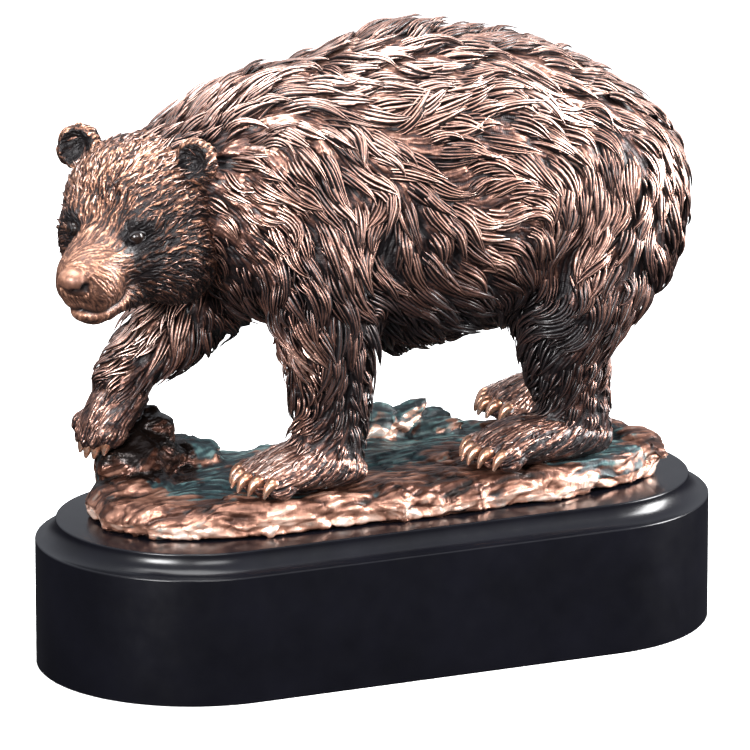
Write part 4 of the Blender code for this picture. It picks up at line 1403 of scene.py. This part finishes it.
def make_lids():
    """Upper and lower lids as swept rolls round each eye."""
    points, across, sizes = [], [], []
    steps = 9
    for side in (-1, 1):
        centre = Vector((EYE_PLACE[0], side * EYE_PLACE[1], EYE_PLACE[2]))
        out = Vector((0.5, side * 0.82, 0.28)).normalized()
        corner = Vector((0.81, side * -0.48, 0.35))
        ahead = (corner - corner.dot(out) * out).normalized()
        up = ahead.cross(out) * side
        for high, thick in ((1, 0.6), (-1, 0.42)):
            path, normal, size = [], [], []
            for k in range(steps):
                angle = math.pi * k / (steps - 1)
                reach = ahead * 2.7 * math.cos(angle) + up * high * (1.55 if high > 0 else 1.35) * math.sin(angle)
                place = centre + reach + out * (0.75 + 0.55 * math.sin(angle))
                path.append(HEAD @ place)
                normal.append(HEAD.to_3x3() @ out)
                size.append(thick * (0.35 + 0.65 * math.sin(angle)))
            points.append(path)
            across.append(normal)
            sizes.append(size)
    count = len(points)
    paths = {
        "points": np.array(points),
        "across": np.array(across),
        "size": np.array(sizes),
        "along": np.full((count, steps), 0.5),
        "tone": np.zeros((count, steps)),
    }
    lids = swept_piece("eyelids", paths, round_section("lid_section", 8), FACE)
    write_attribute(lids.data, "shade", np.full(len(lids.data.vertices), 0.7))
    return lids


def ground_outline(angle):
    """The ground's edge at that angle, an oblong with a broken line."""
    power = OUTLINE_SQUARENESS
    c, s = math.cos(angle), math.sin(angle)
    reach = (abs(2 * c / GROUND_LENGTH) ** power + abs(2 * s / GROUND_WIDTH) ** power) ** (-1 / power)
    rough = noise.noise(Vector((3 * c, 3 * s, 5.0))) + 0.5 * noise.noise(Vector((9 * c, 9 * s, 1.0)))
    return reach + OUTLINE_RELIEF * rough


def add_ground(bm):
    """A low slab of rock: flat below, rolling on top, with a rough sloping edge."""
    bottom = -GROUND_THICKNESS - SEAT_GAP
    loops = []
    for j in range(GROUND_RINGS + 1):
        share = 1 - j / (GROUND_RINGS + 1)
        loop = []
        for k in range(GROUND_TURNS):
            angle = 2 * math.pi * k / GROUND_TURNS
            edge = ground_outline(angle)
            reach = edge * share if j else edge
            x, y = reach * math.cos(angle), reach * math.sin(angle)
            rise = min(1.0, (edge - reach) / GROUND_SLOPE)
            z = GROUND_THICKNESS * (GROUND_LIP - 1 + (1 - GROUND_LIP) * math.sqrt(rise))
            z += GROUND_RELIEF * noise.noise(Vector((x, y, 0)) / GROUND_SWELL)
            loop.append(bm.verts.new((x, y, z)))
        loops.append(loop)
    foot = [bm.verts.new((v.co.x * 0.985, v.co.y * 0.97, bottom)) for v in loops[0]]
    for low, high in zip([foot, *loops], loops):
        for k in range(GROUND_TURNS):
            n = (k + 1) % GROUND_TURNS
            bm.faces.new((low[k], low[n], high[n], high[k]))
    middle = bm.verts.new((0, 0, 0))
    for k in range(GROUND_TURNS):
        bm.faces.new((loops[-1][k], loops[-1][(k + 1) % GROUND_TURNS], middle))
    bm.faces.new(list(reversed(foot)))


def add_boulders(bm):
    for index, (centre, radii, turn) in enumerate(BOULDERS + WEDGES):
        ball = bmesh.new()
        bmesh.ops.create_icosphere(ball, subdivisions=5, radius=1.0)
        for v in ball.verts:
            flats = noise.cell(v.co * 1.3 + Vector((index, 0, 0)))
            swells = noise.noise(v.co * 1.8 + Vector((0, index, 0)))
            v.co *= 1 + BOULDER_ROUGHNESS * (flats + swells)
        spin = Euler([math.radians(a) for a in turn]).to_matrix().to_4x4()
        ball.transform(Matrix.Translation(centre) @ spin @ Matrix.Diagonal((*radii, 1.0)))
        take_over(bm, ball)


def hewn(points, size):
    """Flat facets, as chipped stone has: each cell is cut at its own slant. Also how near each edge is."""
    height = np.zeros(len(points))
    edge = np.zeros(len(points))
    for i, place in enumerate(points / size):
        place = Vector(place)
        distances, cells = noise.voronoi(place)
        slant = noise.noise_vector(cells[0] * 3.1)
        height[i] = 2.6 * (place - cells[0]).dot(slant)
        edge[i] = max(0.0, 1 - (distances[1] - distances[0]) / 0.18)
    return np.clip(height, -1, 1), edge


def chisel_ways(points, normals):
    """The run of the chisel strokes: along the ground, slanting up and down from place to place."""
    turn = 1.3 * noise_at(points, 20.0, 8.0)
    slant = 1.1 * noise_at(points, 13.0, 4.0)
    return along_surface(np.stack([np.cos(turn), np.sin(turn), slant], 1), normals)


def crags(points, ways, stroked):
    """The rock's relief from -1 to 1, and its cracks from 0 to 1; stroked is the share of chisel strokes."""
    warp = np.stack([noise_at(points, 9.0, k * 17.0) for k in range(3)], 1)
    facets, cracks = hewn((points + 3.5 * warp) * (0.6, 0.8, 1.0), 8.5)
    strokes = streaks(points, ways, 5.0, 3.6)
    fine = streaks(points, ways, 2.2, 1.7)
    relief = np.clip(0.70 * facets + stroked * (0.36 * strokes + 0.26 * fine) - 0.15 * cracks, -1, 1)
    return relief, np.clip(cracks, 0, 1)


def make_rock():
    bm = bmesh.new()
    add_ground(bm)
    add_boulders(bm)
    rock = fused("rocky_ground", bm, ROCK_VOXEL, 2)
    points, normals = read_points(rock.data)
    ways = chisel_ways(points, normals)
    boulder = np.linalg.norm((points - BOULDER_MIDDLE) / BOULDER_REACH, axis=1)
    glaze = np.clip((1.2 - boulder) / 0.2, 0, 1)
    rough, cracks = crags(points, ways, 1 - 0.85 * glaze)
    edge = np.clip((0.6 - normals[:, 2]) / 0.5, 0, 1)
    depth = (0.7 + 0.7 * edge) * (1 - 0.3 * glaze)
    moved = points + normals * (depth * (rough - 0.35 * edge))[:, None]
    moved[:, 2] = np.maximum(moved[:, 2], -GROUND_THICKNESS - SEAT_GAP)
    write_points(rock.data, moved)
    near = np.min(np.linalg.norm(points[:, None, :2] - np.array(TEAL_PLACES)[None], axis=2), axis=1)
    streaky = streaks(points, ways, 7.0, 3.0)
    verdigris = np.clip((25 - near) / 12, 0, 1) * np.clip((normals[:, 2] + 0.1) / 0.4, 0, 1)
    verdigris = np.clip(verdigris - 0.25 * rough + 0.5 * streaky - 0.1, 0, 1) * (1 - glaze)
    drips = edge * np.clip(4 * noise_at(points * (1, 1, 0.3), 9.0, 6.0) - 1.2, 0, 1)
    verdigris = np.maximum(verdigris, np.clip(0.5 * drips - 0.3 * rough, 0, 1))
    write_ways(rock.data, ways)
    write_attribute(rock.data, "ridge", np.clip(0.5 + 0.5 * rough - 0.3 * cracks, 0, 1))
    write_attribute(rock.data, "rim", edge)
    write_attribute(rock.data, "glaze", np.maximum(glaze, np.clip((-8.9 - points[:, 2]) / 1.0, 0, 1)))
    write_attribute(rock.data, "verdigris", verdigris)
    return finished(rock, ROCK)


def stadium_loop(bm, inset, z):
    """A closed loop round the plinth's outline, moved in by inset."""
    radius = PLINTH_HIGH.y / MM
    reach = PLINTH_HIGH.x / MM - radius
    loop = []
    for end in (1, -1):
        for k in range(END_STEPS + 1):
            angle = math.pi * (k / END_STEPS - 0.5) + (0 if end > 0 else math.pi)
            x = end * reach + (radius - inset) * math.cos(angle)
            loop.append(bm.verts.new((x, (radius - inset) * math.sin(angle), z)))
    return loop


def moulding_profile():
    """Inset and height up the plinth's side: wall, rounded edge, cove and rounded rim."""
    top = PLINTH_HIGH.z / MM
    wall = top - MOULDING_RISE
    rows = [(EDGE_ROUND, 0.0), (0.0, EDGE_ROUND)]
    for inset, height in ((0.0, wall), (MOULDING_INSET, top)):
        for k in range(EDGE_STEPS + 1):
            turn = math.radians(90 * k / EDGE_STEPS)
            rows.append((inset + EDGE_ROUND * (1 - math.cos(turn)), height - EDGE_ROUND * (1 - math.sin(turn))))
        if height == top:
            break
        for k in range(1, COVE_STEPS):
            turn = math.radians(90 * k / COVE_STEPS)
            rise = MOULDING_RISE - EDGE_ROUND
            rows.append((
                EDGE_ROUND + (MOULDING_INSET - EDGE_ROUND) * math.sin(turn),
                wall + rise * (1 - math.cos(turn)) ** COVE_FULLNESS,
            ))
    return rows


def make_plinth():
    bm = bmesh.new()
    loops = [stadium_loop(bm, inset, z) for inset, z in moulding_profile()]
    for low, high in zip(loops, loops[1:]):
        for k in range(len(low)):
            n = (k + 1) % len(low)
            bm.faces.new((low[k], low[n], high[n], high[k]))
    bm.faces.new(list(reversed(loops[0])))
    bm.faces.new(loops[-1])
    bmesh.ops.recalc_face_normals(bm, faces=bm.faces)
    plinth = finished(new_object("moulded_plinth", bm), LACQUER)
    plinth.data.transform(Matrix.Scale(MM, 4))
    plinth.data.shade_smooth()
    plinth.data.set_sharp_from_angle(angle=math.radians(35))
    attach(plinth, "root")
    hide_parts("plinth")


make_skin()
bear_head = make_head()
hair = face_hair(bear_head)
to_frame(bear_head, "bronzed_resin", "bear_on_rock")
to_frame(hair, "bronzed_resin", "bear_on_rock")
make_coat()
bear_paws = make_paws()
hair = paw_hair(bear_paws)
to_frame(bear_paws, "bronzed_resin", "bear_on_rock")
to_frame(hair, "bronzed_resin", "bear_on_rock")
to_frame(make_claws(), "bronzed_resin", "bear_on_rock")
to_frame(make_eyes(), "bronzed_resin", "bear_on_rock")
to_frame(make_lids(), "bronzed_resin", "bear_on_rock")
to_frame(make_rock(), "bronzed_resin", "bear_on_rock")
make_plinth()
for helper in [o for o in bpy.data.objects if o.name.endswith("_section") or o.name == "bear_form"]:
    bpy.data.objects.remove(helper)


# ---- stage, lights and camera ------------------------------------------------------------------


def make_floor():
    bm = bmesh.new()
    bmesh.ops.create_grid(bm, x_segments=2, y_segments=2, size=12.0)
    floor = new_object("floor", bm)
    material, _, shader = new_finish("pale_floor")
    shader.inputs["Base Color"].default_value = (0.80, 0.80, 0.80, 1.0)
    shader.inputs["Roughness"].default_value = 0.9
    shader.inputs["Specular IOR Level"].default_value = 0.0
    shader.inputs["Emission Color"].default_value = (1.0, 1.0, 1.0, 1.0)
    shader.inputs["Emission Strength"].default_value = 0.55
    floor.data.materials.append(material)
    floor.visible_glossy = False
    floor.visible_diffuse = False


def add_softbox(name, place, aim, size, power):
    light = bpy.data.lights.new(name, "AREA")
    light.shape = "RECTANGLE"
    light.size, light.size_y = size
    light.energy = power
    lamp = link(bpy.data.objects.new(name, light))
    lamp.location = place
    lamp.rotation_euler = (Vector(aim) - Vector(place)).to_track_quat("-Z", "Y").to_euler()


def make_lights():
    world = bpy.data.worlds.new("studio")
    bpy.context.scene.world = world
    world.use_nodes = True
    tree = world.node_tree
    height = add_node(tree, "ShaderNodeSeparateXYZ")
    direction = add_node(tree, "ShaderNodeTexCoord")
    tree.links.new(direction.outputs["Generated"], height.inputs[0])
    sky = colour_ramp(tree, (
        (0.0, (0.020, 0.020, 0.022)),
        (0.45, (0.035, 0.035, 0.040)),
        (0.56, (0.34, 0.35, 0.38)),
        (0.70, (0.50, 0.52, 0.57)),
        (1.0, (0.72, 0.76, 0.84)),
    ))
    tree.links.new(mapped(tree, height.outputs["Z"], -1.0, 1.0, 0.0, 1.0), sky.inputs["Fac"])
    tree.links.new(sky.outputs["Color"], tree.nodes["Background"].inputs["Color"])
    middle = (0, 0, 0.09)
    add_softbox("overhead_softbox", (-0.10, 0.10, 1.4), middle, (1.1, 0.8), 24)
    add_softbox("left_softbox", (-1.3, -1.0, 0.62), middle, (0.6, 0.5), 50)
    add_softbox("right_softbox", (1.3, -0.5, 0.6), middle, (0.6, 0.9), 72)
    add_softbox("front_softbox", (-0.3, -1.6, 0.8), middle, (0.7, 0.5), 14)
    bpy.context.scene.view_settings.view_transform = "Standard"


CAMERA_AZIMUTH = math.radians(-24.37)
CAMERA_ELEVATION = math.radians(15.26)
CAMERA_DISTANCE = 2.5
CAMERA_TARGET = Vector((0, 0, 0.0827))
PHOTO_WIDTH = 750
PIXELS_PER_MM = 3.296
SENSOR = 36.0


def make_camera():
    data = bpy.data.cameras.new("camera")
    data.sensor_width = SENSOR
    data.lens = PIXELS_PER_MM * CAMERA_DISTANCE / MM / PHOTO_WIDTH * SENSOR
    data.clip_end = 100.0
    camera = link(bpy.data.objects.new("camera", data))
    level = math.cos(CAMERA_ELEVATION)
    back = Vector((
        math.sin(CAMERA_AZIMUTH) * level,
        -math.cos(CAMERA_AZIMUTH) * level,
        math.sin(CAMERA_ELEVATION),
    ))
    camera.location = CAMERA_TARGET + back * CAMERA_DISTANCE
    camera.rotation_euler = (-back).to_track_quat("-Z", "Y").to_euler()
    bpy.context.scene.camera = camera


make_floor()
make_lights()
make_camera()
